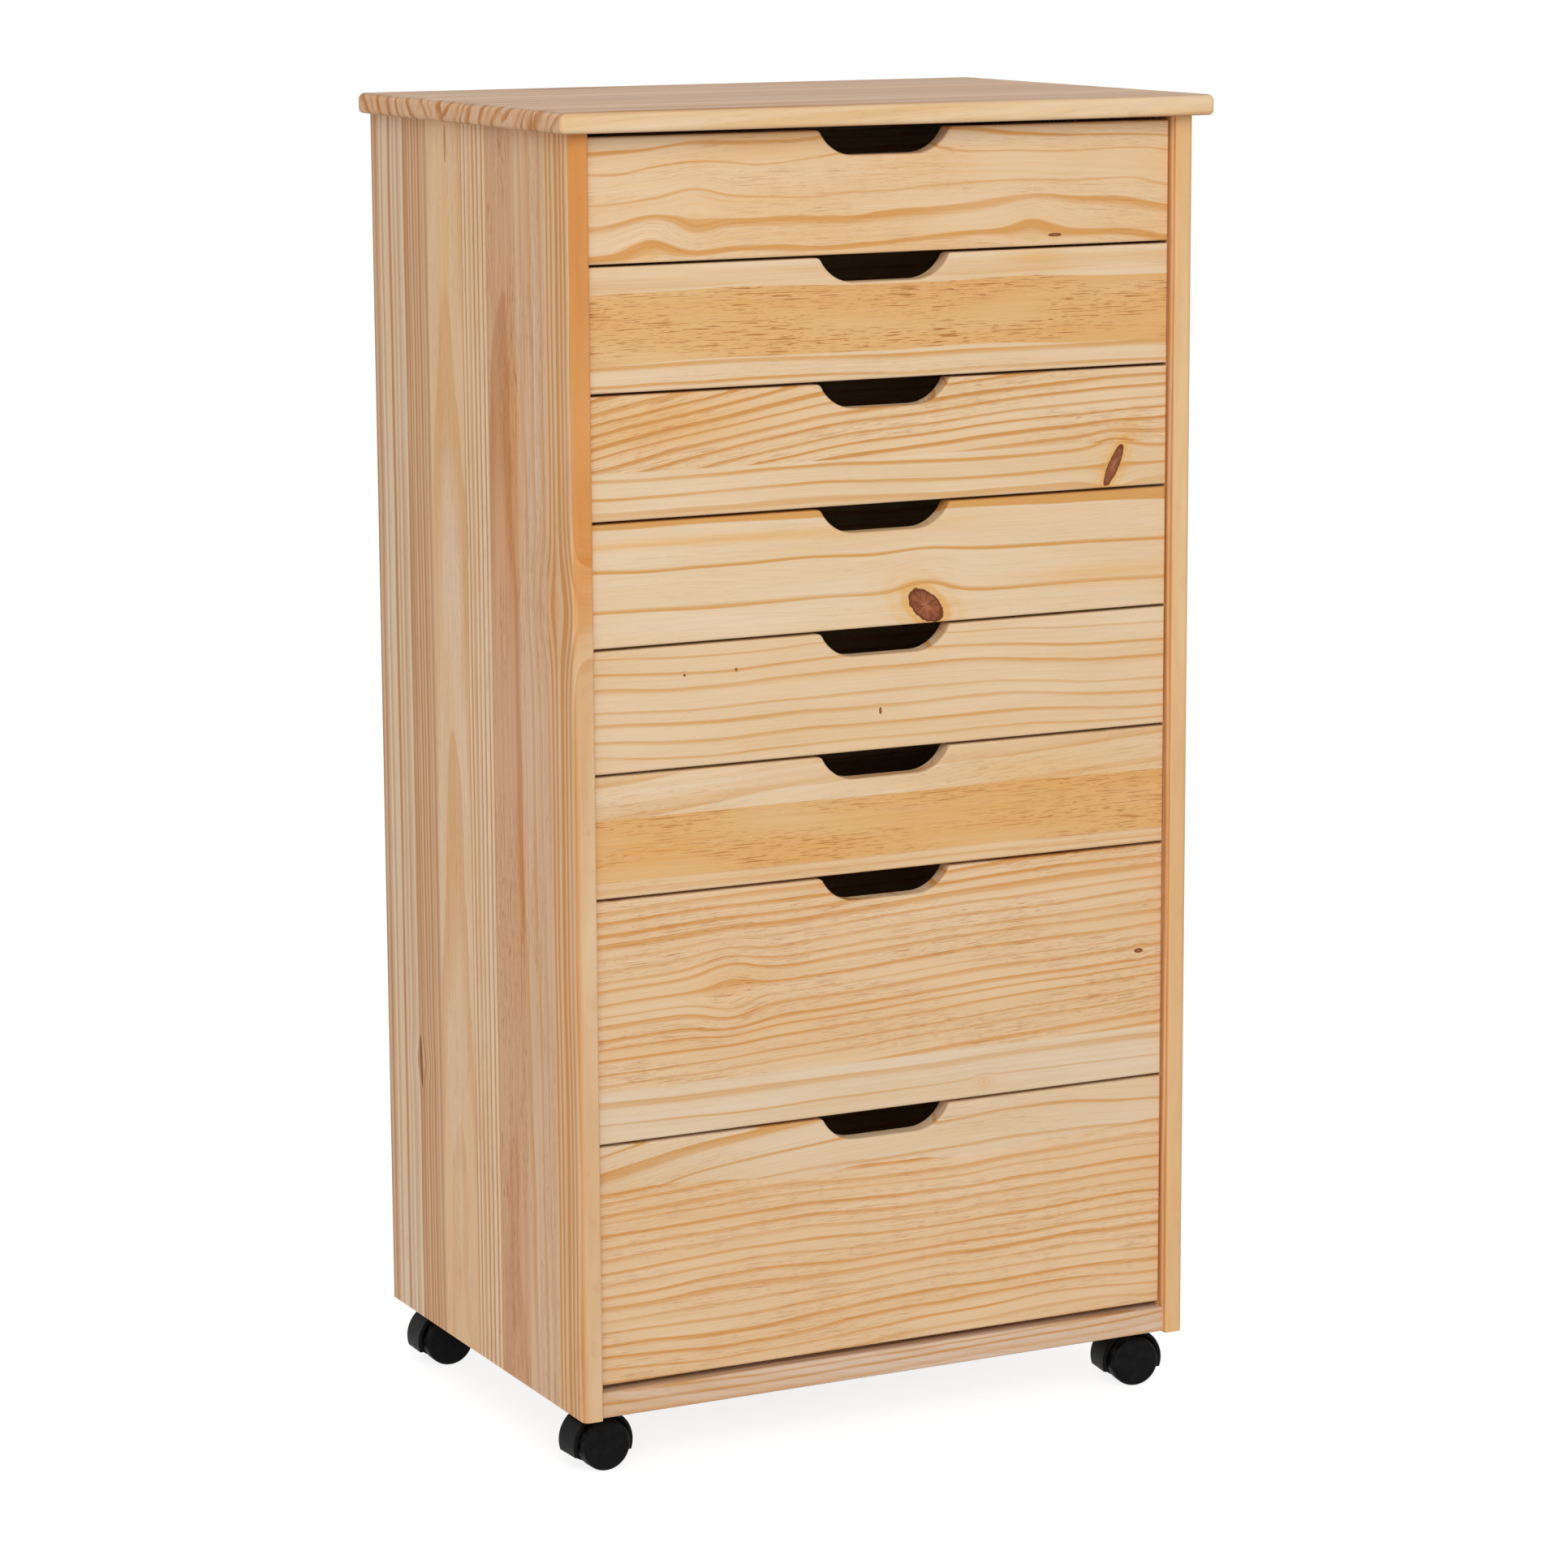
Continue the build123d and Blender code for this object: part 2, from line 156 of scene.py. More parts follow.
def blend_colors(tree, share, first, second, blend_type="MIX"):
    """One colour over another, by a share from 0 to 1."""
    mix = tree.nodes.new("ShaderNodeMix")
    mix.data_type = "RGBA"
    mix.blend_type = blend_type
    factor, color_a, color_b = mix.inputs[0], mix.inputs[6], mix.inputs[7]
    feed(tree, factor, share)
    feed(tree, color_a, first)
    feed(tree, color_b, second)
    return Signal(tree, mix.outputs[2])


def node_group(name, tree_kind, inputs, outputs):
    """An empty group with named sockets: its tree, its inputs and its output node."""
    tree = bpy.data.node_groups.new(name, tree_kind)
    for direction, sockets in (("INPUT", inputs), ("OUTPUT", outputs)):
        for socket, kind in sockets.items():
            tree.interface.new_socket(socket, in_out=direction, socket_type=f"NodeSocket{kind}")
    entry = tree.nodes.new("NodeGroupInput")
    return tree, entry.outputs, tree.nodes.new("NodeGroupOutput")


def shader_group(name, inputs, outputs):
    """An empty shader group: its tree, its inputs as signals, and its output node."""
    tree, entries, leaving = node_group(name, "ShaderNodeTree", inputs, outputs)
    given = {socket: Signal(tree, entries[socket]) for socket in inputs}
    return tree, given, leaving


def use_group(tree, group, **values):
    """Places a group in a tree, fills its inputs and gives back its outputs by name."""
    placed = tree.nodes.new("ShaderNodeGroup")
    placed.node_tree = group
    fill(tree, placed, **values)
    return {socket.name: Signal(tree, socket) for socket in placed.outputs}


def make_pine_grain():
    """Growth rings about a pith line: late-wood bands, drifting colour, streaks, resin dashes and fibres."""
    tree, given, leaving = shader_group(
        "pine_grain",
        {"Place": "Vector", "Pith": "Vector", "Lean": "Vector", "Ring": "Float", "Late Share": "Float",
         "Wander": "Float", "Seed": "Float"},
        {"Late": "Float", "Cloud": "Float", "Streak": "Float", "Resin": "Float", "Fibre": "Float"},
    )
    # Waves a metre along, through and across the board
    drift_waves = (4.0, 9.0, 9.0)
    ripple_waves = (11.0, 45.0, 45.0)
    fading_waves = (6.0, 60.0, 60.0)
    patch_waves = (7.0, 40.0, 40.0)
    cloud_waves = (3.5, 22.0, 22.0)
    # Waves a metre along the board and across its rings, or across its rings alone
    long_dash_waves = (30.0, 900.0, 1.0)
    short_dash_waves = (80.0, 1500.0, 1.0)
    streak_waves = (2.2, 300.0, 1.0)
    fibre_waves = (18.0, 1400.0, 1.0)
    slow_year_waves = (55.0, 1.0, 1.0)
    least_strength = 0.45
    least_thickness, thickness_spread = 0.65, 0.6
    drift_reach, ripple_reach, slow_year_reach = 2.0, 0.5, 1.6
    seed_step = 7.0
    along, depth, across = given["Place"].split()
    _, pith_depth, pith_across = given["Pith"].split()
    bow, dive, rise = given["Lean"].split()
    seed = given["Seed"]
    own_along = along + seed * seed_step
    seeded = join(tree, own_along, depth, across)

    drift = stretched_noise(tree, seeded, drift_waves, 1.0) - 0.5
    ripple = stretched_noise(tree, seeded, ripple_waves, 1.0) - 0.5
    inward = depth - pith_depth - dive * along
    upward = across - pith_across - rise * along - bow * along * along
    radius = (inward * inward + upward * upward).step("SQRT")
    radius = radius + drift * given["Wander"] * drift_reach + ripple * given["Wander"] * ripple_reach
    slow_years = stretched_noise(tree, join(tree, radius, seed, 0.0), slow_year_waves, 1.0) - 0.5
    age = radius / given["Ring"] + slow_years * slow_year_reach
    year = age.step("FLOOR")
    season = age - year
    strength = (year + seed * 3.1).chance() * (1.0 - least_strength) + least_strength
    thickness = (year * 1.37 + seed * 5.7 + 11.0).chance() * thickness_spread + least_thickness
    onset = (thickness * given["Late Share"]).opposite()
    darkest = onset * 0.2 + 0.74
    winter = season.ease(0.95, 1.0)
    late = season.ease(onset, darkest) * winter.opposite() * strength
    fading = stretched_noise(tree, seeded, fading_waves, 1.0).ease(0.25, 0.6) * 0.3 + 0.7

    ringwise = join(tree, own_along, radius * 0.4 + upward, seed)
    long_dashes = stretched_noise(tree, ringwise, long_dash_waves, 1.0).ease(0.61, 0.67)
    short_dashes = stretched_noise(tree, ringwise, short_dash_waves, 1.0).ease(0.61, 0.67)
    patches = stretched_noise(tree, seeded, patch_waves, 1.0).ease(0.36, 0.56)
    streak = stretched_noise(tree, ringwise, streak_waves, 3.0).ease(0.34, 0.72)
    fill(
        tree, leaving,
        Late=late * fading * (streak * 0.4 + 0.8),
        Cloud=stretched_noise(tree, seeded, cloud_waves).ease(0.3, 0.72),
        Streak=streak,
        Resin=long_dashes.step("MAXIMUM", short_dashes) * patches,
        Fibre=stretched_noise(tree, ringwise, fibre_waves, 3.0) - 0.5,
    )
    return tree


def make_pine_knot():
    """A knot or a stain: a ragged rayed body and a golden halo, with the rings bent round it."""
    tree, given, leaving = shader_group(
        "pine_knot",
        {"Place": "Vector", "Centre": "Vector", "Size": "Vector", "Turn": "Float", "Bend": "Float"},
        {"Place": "Vector", "Body": "Float", "Reach": "Float", "Rays": "Float", "Halo": "Float"},
    )
    ragged_waves = (150.0, 150.0, 150.0)
    raggedness = 0.35
    ray_waves = (4.0, 1.5, 40.0)
    bend_fall, halo_fall = -0.22, -0.3
    echo_rate, echo_share = 6.5, 0.4
    along, depth, across = given["Place"].split()
    centre_along, _, centre_across = given["Centre"].split()
    half_length, _, half_height = given["Size"].split()
    from_along = along - centre_along
    from_across = across - centre_across
    cosine, sine = given["Turn"].step("COSINE"), given["Turn"].step("SINE")
    length_part = (from_along * cosine + from_across * sine) / half_length
    height_part = (from_across * cosine - from_along * sine) / half_height
    square_reach = length_part * length_part + height_part * height_part
    reach = square_reach.step("SQRT")
    ragged = reach + (stretched_noise(tree, given["Place"], ragged_waves) - 0.5) * raggedness
    apart = (from_along * from_along + from_across * from_across) / (half_length * half_height)
    pull = (apart * bend_fall).step("EXPONENT") * given["Bend"]
    echoes = ((reach * echo_rate).step("SINE") - 1.0) * given["Bend"] * echo_share + 1.0
    collar = reach.ease(1.10, 1.26) * reach.ease(1.30, 1.55).opposite() * given["Bend"]
    angle = height_part.step("ARCTAN2", length_part)
    rays = stretched_noise(tree, join(tree, angle, reach, centre_along), ray_waves)
    fill(
        tree, leaving,
        Place=join(tree, along, depth, across - from_across * pull),
        Body=ragged.ease(0.94, 1.02).opposite(),
        Reach=ragged,
        Rays=rays.ease(0.42, 0.62),
        Halo=((square_reach * halo_fall).step("EXPONENT") * echoes).step("MAXIMUM", collar),
    )
    return tree


surface_outputs = {"Color": "Color", "Roughness": "Float", "Height": "Float"}


def make_pine_finish():
    """Lacquered pine from its grain: colour, gloss and the fine relief of the hard late wood."""
    tree, given, leaving = shader_group(
        "pine_finish",
        {"Late": "Float", "Cloud": "Float", "Streak": "Float", "Resin": "Float", "Fibre": "Float",
         "Tone": "Color", "Contrast": "Float", "Dark": "Float", "Cloud Share": "Float",
         "Streak Share": "Float", "Resin Share": "Float",
         "Knot": "Float", "Reach": "Float", "Rays": "Float", "Halo": "Float", "End Grain": "Float"},
        surface_outputs,
    )
    pale_wood = (0.765, 0.595, 0.40, 1)
    straw_wood = (0.715, 0.485, 0.255, 1)
    amber_wood = (0.745, 0.43, 0.155, 1)
    golden_wood = (0.64, 0.33, 0.105, 1)
    dark_wood = (0.43, 0.195, 0.075, 1)
    resin_brown = (0.43, 0.15, 0.04, 1)
    knot_core = (0.43, 0.17, 0.085, 1)
    knot_brown = (0.30, 0.098, 0.045, 1)
    knot_rim = (0.14, 0.036, 0.014, 1)
    end_tint = (0.90, 0.82, 0.78, 1)
    cloud_cover, late_cover, resin_cover, ray_cover = 0.45, 1.55, 0.9, 0.6
    least_glow = 0.6
    fibre_shade = 0.2
    lacquer_roughness = 0.56
    drifting = given["Cloud"] * cloud_cover + given["Streak"] * given["Streak Share"]
    early = blend_colors(tree, drifting, pale_wood, straw_wood)
    glowing = given["Halo"] * (given["Streak"] * (1.0 - least_glow) + least_glow)
    clouded = glowing.step("MAXIMUM", given["Cloud"] * given["Cloud Share"])
    early = blend_colors(tree, clouded, early, amber_wood)
    late_wood = blend_colors(tree, given["Dark"], golden_wood, dark_wood)
    wood = blend_colors(tree, given["Late"] * given["Contrast"] * late_cover, early, late_wood)
    wood = blend_colors(tree, 1.0, wood, given["Tone"], "MULTIPLY")
    wood = blend_colors(tree, given["Resin"] * given["Resin Share"] * resin_cover, wood, resin_brown)
    knot_wood = blend_colors(tree, given["Reach"].ease(0.0, 0.5), knot_core, knot_brown)
    knot_wood = blend_colors(tree, given["Rays"] * ray_cover, knot_wood, knot_rim)
    knot_wood = blend_colors(tree, given["Reach"].ease(0.72, 0.95), knot_wood, knot_rim)
    wood = blend_colors(tree, given["Knot"], wood, knot_wood)
    end_wood = blend_colors(tree, 1.0, wood, end_tint, "MULTIPLY")
    wood = blend_colors(tree, given["End Grain"], wood, end_wood)
    shade = given["Fibre"] * fibre_shade + 1.0
    wood = blend_colors(tree, 1.0, wood, join(tree, shade, shade, shade), "MULTIPLY")
    fill(
        tree, leaving,
        Color=wood,
        Roughness=given["Fibre"] * 0.16 + given["End Grain"] * 0.2 - given["Late"] * 0.06 + lacquer_roughness,
        Height=given["Late"] * 0.35 + given["Fibre"] * 0.6 - given["Resin"] * 0.15 - given["Knot"] * 0.3,
    )
    return tree


pine_grain = make_pine_grain()
pine_knot = make_pine_knot()
pine_finish = make_pine_finish()


# Ramps carry each strip's numbers as colours: those that can be negative moved up, small ones enlarged
moved_up, enlarged = 0.5, 10.0


def strip(start, pith, ring, lean=(0.0, 0.0), bow=0.0, wander=0.006, late=0.5, contrast=0.9, dark=0.0,
          tone=(1.0, 1.0, 1.0), cloud=0.0, streak=0.4, resin=0.3):
    """One glued strip of a board: where it starts across the board, and how its rings lie in it."""
    return {
        "start": start,
        "pith": (moved_up + pith[0], moved_up + pith[1], ring * enlarged, contrast),
        "lean": (moved_up + lean[0], moved_up + lean[1], wander * enlarged, resin),
        "tone": (*tone, moved_up + bow),
        "figure": (late, cloud, streak, dark),
    }


def knot(along, across, half_length, half_height, turn=0.0, shown=1.0, glow=1.0, bend=0.7):
    """A knot in a board's face; with shown at 0, only a golden glow and rings round a hidden one."""
    return {"centre": (along, 0.0, across), "size": (half_length, 1.0, half_height),
            "turn": math.radians(turn), "shown": shown, "glow": glow, "bend": bend}


def stain(along, across, half_length, half_height, glow):
    """A soft golden stain in a board's face, with the rings running straight through it."""
    return knot(along, across, half_length, half_height, shown=0.0, glow=glow, bend=0.0)


def stepped_ramp(tree, where, stops):
    """Steps from one set of four numbers to the next, as the given signal passes each stop."""
    ramp = tree.nodes.new("ShaderNodeValToRGB")
    ramp.color_ramp.interpolation = "CONSTANT"
    elements = ramp.color_ramp.elements
    elements.remove(elements[-1])
    for index, (position, numbers) in enumerate(stops):
        element = elements[0] if index == 0 else elements.new(position)
        element.position = position
        element.color = numbers
    fill(tree, ramp, Fac=where)
    return Signal(tree, ramp.outputs["Color"]), Signal(tree, ramp.outputs["Alpha"])


def new_material(name, specular):
    """A new material with the given mirror gloss: the material, its tree and its one shader."""
    material = bpy.data.materials.new(name)
    material.use_nodes = True
    tree = material.node_tree
    shader = tree.nodes["Principled BSDF"]
    fill(tree, shader, Specular_IOR_Level=specular)
    return material, tree, shader


def finish_surface(tree, shader, surface, relief):
    """Feeds a shader with a surface's colour, its gloss and its relief of the given depth in metres."""
    bump = tree.nodes.new("ShaderNodeBump")
    fill(tree, bump, Strength=1.0, Distance=relief, Height=surface["Height"])
    fill(tree, shader, Base_Color=surface["Color"], Roughness=surface["Roughness"],
         Normal=bump.outputs["Normal"])


def board_place(tree, axes, origin):
    """Where a point lies along, through and across a board from its corner, and which way it faces."""
    coordinates = tree.nodes.new("ShaderNodeTexCoord")
    moved = tree.nodes.new("ShaderNodeMapping")
    fill(tree, moved, Vector=coordinates.outputs["Object"], Location=[-value for value in origin])
    parts = dict(zip("XYZ", Signal(tree, moved.outputs["Vector"]).split()))
    facing = dict(zip("XYZ", Signal(tree, coordinates.outputs["Normal"]).split()))
    return [parts[axis] for axis in axes], [facing[axis].step("ABSOLUTE") for axis in axes]


def edge_tones(low, high, change, calm=0.6):
    """A board's long edges: one tone up to a place along it, another past it, and how far rings fade."""
    return {"low": (*low, 1), "high": (*high, 1), "change": change, "calm": calm}


def pine_board(name, axes, origin, width, strips, knots=(), seed=0.0, waves=0.0, edges=None, ends=None,
               gloss=0.12):
    """Clear-lacquered pine for one board: axes name its directions along, through and across the grain.

    Its strips lie side by side across it, and waves is how far the lines between them swing.
    """
    lacquer_relief = 0.00012
    swing_waves = (5.0, 5.0, 5.0)
    edge_spread, edge_swing = 0.05, 6.0
    material, tree, shader = new_material(name, gloss)
    (along, depth, across), (facing_end, _, facing_edge) = board_place(tree, axes, origin)
    place = join(tree, along, depth, across)
    body, reach, rays, halo = 0.0, 1.0, 0.0, 0.0
    for each in knots:
        bent = use_group(tree, pine_knot, Place=place, Centre=each["centre"], Size=each["size"],
                         Turn=each["turn"], Bend=each["bend"])
        place = bent["Place"]
        body = (bent["Body"] * each["shown"]).step("MAXIMUM", body)
        reach = bent["Reach"].step("MINIMUM", reach)
        rays = (bent["Rays"] * bent["Body"]).step("MAXIMUM", rays)
        halo = (bent["Halo"] * each["glow"]).step("MAXIMUM", halo)
    swing = stretched_noise(tree, place, swing_waves, 1.0) - 0.5
    where = (across + swing * waves) / width
    ramps = {}
    for kind in ("pith", "lean", "tone", "figure"):
        stops = [(piece["start"] / width, piece[kind]) for piece in strips]
        ramps[kind] = stepped_ramp(tree, where, stops)
    pith_color, contrast = ramps["pith"]
    lean_color, resin = ramps["lean"]
    tone, bow = ramps["tone"]
    figure_color, dark = ramps["figure"]
    if edges:
        past = (along + swing * edge_spread * edge_swing - edges["change"]) / edge_spread
        edge_tone = blend_colors(tree, past.ease(-0.5, 0.5), edges["low"], edges["high"])
        on_edge = facing_edge.ease(0.35, 0.8)
        tone = blend_colors(tree, on_edge, tone, edge_tone)
        contrast = contrast * (on_edge * -edges["calm"] + 1.0)
        resin = resin * (on_edge * -edges["calm"] + 1.0)
    on_end = facing_end.ease(0.55, 0.85)
    if ends:
        tone = blend_colors(tree, on_end, tone, (*ends["tone"], 1))
        contrast = contrast * (on_end * -ends["calm"] + 1.0)
    pith_depth, pith_across, ring = pith_color.split()
    dive, rise, wander = lean_color.split()
    late_share, cloud_share, streak_share = figure_color.split()
    real_size = 1.0 / enlarged
    grain = use_group(
        tree, pine_grain, Place=place, Seed=seed, Ring=ring * real_size, Late_Share=late_share,
        Wander=wander * real_size,
        Pith=join(tree, 0.0, pith_depth - moved_up, pith_across - moved_up),
        Lean=join(tree, bow - moved_up, dive - moved_up, rise - moved_up),
    )
    wood = use_group(
        tree, pine_finish, **grain, Tone=tone, Contrast=contrast, Dark=dark,
        Cloud_Share=cloud_share, Streak_Share=streak_share, Resin_Share=resin,
        Knot=body, Reach=reach, Rays=rays, Halo=halo, End_Grain=on_end,
    )
    finish_surface(tree, shader, wood, lacquer_relief)
    return material


def dress(node_name, material):
    """Gives a solid of the frame its finish."""
    slots = frame["nodes"][node_name].data.materials
    slots.clear()
    slots.append(material)


side_gold = (1.14, 0.99, 0.91)
side_pink = (1.11, 1.01, 1.09)
side_rose = (1.03, 0.84, 0.83)
side_white = (1.24, 1.23, 1.32)
side_straw = (1.20, 1.15, 1.20)
side_tan = (1.02, 0.90, 0.88)
side_cream = (1.17, 1.20, 1.34)
side_edges = {
    "left": edge_tones(low=(0.96, 0.90, 0.86), high=(0.94, 0.63, 0.36), change=0.60),
    "right": edge_tones(low=(1.00, 0.86, 0.70), high=(1.02, 0.90, 0.73), change=0.50, calm=0.8),
}
side_knots = {
    "left": [knot(0.215, 0.313, 0.022, 0.0026, turn=4.0),
             knot(0.952, 0.231, 0.014, 0.0020, shown=0.5, glow=0.9),
             stain(0.890, 0.237, 0.070, 0.010, glow=0.7), stain(0.728, 0.117, 0.055, 0.012, glow=1.3),
             stain(0.407, 0.104, 0.035, 0.005, glow=1.2),
             knot(0.620, 0.030, 0.030, 0.010, shown=0.0, glow=0.5)],
    "right": [knot(0.705, 0.245, 0.014, 0.006, turn=20.0), stain(0.300, 0.120, 0.090, 0.012, glow=1.0)],
}
for side_name, side_seed in (("left", 1.0), ("right", 2.0)):
    panel_low, panel_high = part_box(f"{side_name}_side_panel")
    panel_depth = panel_high.y - panel_low.y
    panel_strips = [
        strip(0.0, (0.020, -0.075), 0.008, wander=0.003, late=0.7, contrast=1.1, dark=0.1, tone=side_gold),
        strip(0.045, (0.060, 0.130), 0.011, lean=(0.02, 0.0), contrast=0.5, tone=side_pink, streak=0.9,
              resin=0.5),
        strip(0.099, (0.060, 0.130), 0.011, lean=(0.02, 0.0), contrast=0.5, dark=0.4, tone=side_rose,
              streak=0.9, resin=0.9),
        strip(0.151, (0.010, 0.440), 0.008, wander=0.002, late=0.6, dark=0.45, tone=side_white),
        strip(0.200, (0.055, 0.235), 0.010, lean=(0.03, 0.004), contrast=0.45, tone=side_straw, cloud=0.3),
        strip(0.268, (0.012, 0.120), 0.0062, wander=0.002, late=0.7, contrast=1.0, dark=0.3, tone=side_tan),
        strip(0.310, (0.020, 0.120), 0.011, wander=0.003, late=0.75, contrast=0.75, dark=0.7,
              tone=side_cream),
        strip(0.367, (0.030, 0.120), 0.008, wander=0.003, contrast=0.8, dark=0.7, tone=side_tan),
    ]
    dress(f"{side_name}_side_panel", pine_board(
        f"{side_name}_side_pine", "ZXY", panel_low, panel_depth, panel_strips, side_knots[side_name],
        side_seed, edges=side_edges[side_name]))

# Bottom board
# A thicker pine board between the two side panels, set back a little behind their front edges.
# It ties the sides together and carries the four casters in plugs let into its underside.
bottom_low, bottom_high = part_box("bottom_panel")
bottom_tone = (0.90, 0.89, 1.04)
bottom_strips = [
    strip(0.0, (0.030, -0.020), 0.006, lean=(0.03, 0.05), contrast=0.8, tone=bottom_tone, streak=0.8,
          resin=0.15),
    strip(0.075, (-0.040, 0.100), 0.008, contrast=0.7, tone=bottom_tone),
    strip(0.190, (0.060, 0.240), 0.009, contrast=0.7, tone=bottom_tone),
    strip(0.290, (-0.050, 0.330), 0.007, contrast=0.7, tone=bottom_tone),
]
dress("bottom_panel", pine_board(
    "bottom_pine", "XZY", bottom_low, bottom_high.y - bottom_low.y, bottom_strips, seed=3.0))

# Top board
# A wide pine board glued up from narrow strips, with all its edges rounded over and clear-lacquered.
# It overhangs the front and both sides, and its ends show the rings of every strip.
top_low, top_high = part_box("top_panel")
# The top face's tones are darker than the fronts': partly the board's own greyer wood, partly painted shade
# for the weak light that falls on it from above. Its ends and long edges keep their own tones.
top_tones_with_painted_shade = ((0.80, 0.73, 0.78), (0.91, 0.86, 0.93), (0.85, 0.79, 0.85))
top_ends = {"tone": (1.24, 1.18, 1.25), "calm": -0.2}
top_strips = []
strip_start = 0.0
for index, (strip_width, pith_depth, pith_share, ring) in enumerate((
    (0.050, -0.030, -0.30, 0.0150), (0.058, 0.040, 1.15, 0.0125), (0.052, -0.022, -0.30, 0.0140),
    (0.060, 0.036, 1.20, 0.0120), (0.055, -0.028, 1.25, 0.0150), (0.062, 0.034, -0.25, 0.0130),
    (0.058, -0.024, 1.20, 0.0140),
)):
    top_strips.append(strip(
        strip_start, (pith_depth, strip_start + pith_share * strip_width), ring, lean=(0.01, 0.02),
        wander=0.004, late=0.55, contrast=0.6, dark=0.5, tone=top_tones_with_painted_shade[index % len(top_tones_with_painted_shade)], streak=0.8))
    strip_start += strip_width
top_knots = [knot(0.170, 0.372, 0.040, 0.006, bend=0.5)]
top_edges = edge_tones(low=(1.03, 1.01, 1.00), high=(1.03, 0.99, 0.94), change=0.3)
dress("top_panel", pine_board(
    "top_pine", "XZY", top_low, top_high.y - top_low.y, top_strips, top_knots, seed=4.0, edges=top_edges,
    ends=top_ends, gloss=0.03))

# Joinery
# Beech dowels line the boards up, and steel cam bolts with die-cast cam discs pull them tight.
# The discs lie flush in the inner faces, so all of it is hidden once the drawers are in.


def make_beech_figure():
    """Planed beech: even pinkish wood with short dark flecks along the grain."""
    tree, given, leaving = shader_group(
        "beech_figure", {"Place": "Vector", "Seed": "Float"}, surface_outputs)
    cloud_waves = (6.0, 120.0, 120.0)
    fleck_waves = (220.0, 1800.0, 1800.0)
    fibre_waves = (30.0, 1500.0, 1500.0)
    pale_beech = (0.70, 0.475, 0.29, 1)
    warm_beech = (0.60, 0.37, 0.205, 1)
    fleck_brown = (0.33, 0.17, 0.08, 1)
    planed_roughness = 0.55
    along, depth, across = given["Place"].split()
    seeded = join(tree, along + given["Seed"], depth, across)
    cloud = stretched_noise(tree, seeded, cloud_waves, 3.0).ease(0.3, 0.7)
    fleck = stretched_noise(tree, seeded, fleck_waves, 1.0).ease(0.6, 0.7)
    fibre = stretched_noise(tree, seeded, fibre_waves) - 0.5
    wood = blend_colors(tree, cloud, pale_beech, warm_beech)
    wood = blend_colors(tree, fleck * 0.55, wood, fleck_brown)
    fill(tree, leaving, Color=wood, Roughness=fibre * 0.2 + planed_roughness, Height=fibre - fleck * 0.4)
    return tree


def make_plated_metal():
    """Plated metal: a bright coat that has dulled in drifts, with fine drawing or casting marks."""
    tree, given, leaving = shader_group(
        "plated_metal", {"Place": "Vector", "Bright": "Color", "Dull": "Color"}, surface_outputs)
    drift_waves = (160.0, 160.0, 160.0)
    mark_waves = (2500.0, 2500.0, 2500.0)
    bright_roughness = 0.3
    drifts = stretched_noise(tree, given["Place"], drift_waves, 3.0).ease(0.35, 0.7)
    marks = stretched_noise(tree, given["Place"], mark_waves) - 0.5
    coat = blend_colors(tree, drifts, given["Bright"], given["Dull"])
    roughness = drifts * 0.16 + marks * 0.2 + bright_roughness
    fill(tree, leaving, Color=coat, Roughness=roughness, Height=marks)
    return tree


beech_figure = make_beech_figure()
plated_metal = make_plated_metal()


def object_place(tree):
    """Places in the cart's own frame."""
    return Signal(tree, tree.nodes.new("ShaderNodeTexCoord").outputs["Object"])


def beech(name, axes, seed):
    """Planed beech without lacquer: axes name its directions along, through and across the grain."""
    material, tree, shader = new_material(name, specular=0.25)
    (along, depth, across), _ = board_place(tree, axes, (0.0, 0.0, 0.0))
    wood = use_group(tree, beech_figure, Place=join(tree, along, depth, across), Seed=seed)
    finish_surface(tree, shader, wood, relief=0.00008)
    return material


def metal(name, bright, dull, relief):
    """A plated metal between its bright and its dull colour."""
    material, tree, shader = new_material(name, specular=0.5)
    fill(tree, shader, Metallic=1.0)
    coat = use_group(tree, plated_metal, Place=object_place(tree), Bright=(*bright, 1), Dull=(*dull, 1))
    finish_surface(tree, shader, coat, relief)
    return material


plated_steel = metal("plated_steel", bright=(0.66, 0.67, 0.69), dull=(0.46, 0.46, 0.47), relief=0.00001)
cast_zinc = metal("cast_zinc", bright=(0.52, 0.53, 0.55), dull=(0.33, 0.33, 0.35), relief=0.00004)
dress("carcass_dowels", beech("dowel_beech", "XYZ", 5.0))
dress("cam_bolts", plated_steel)
dress("cam_locks", cast_zinc)

# Back panel
# A thin sheet of birch plywood, slid into rebates behind the side panels and left without lacquer.
# A row of small flat-headed nails all round fixes it to the four boards.


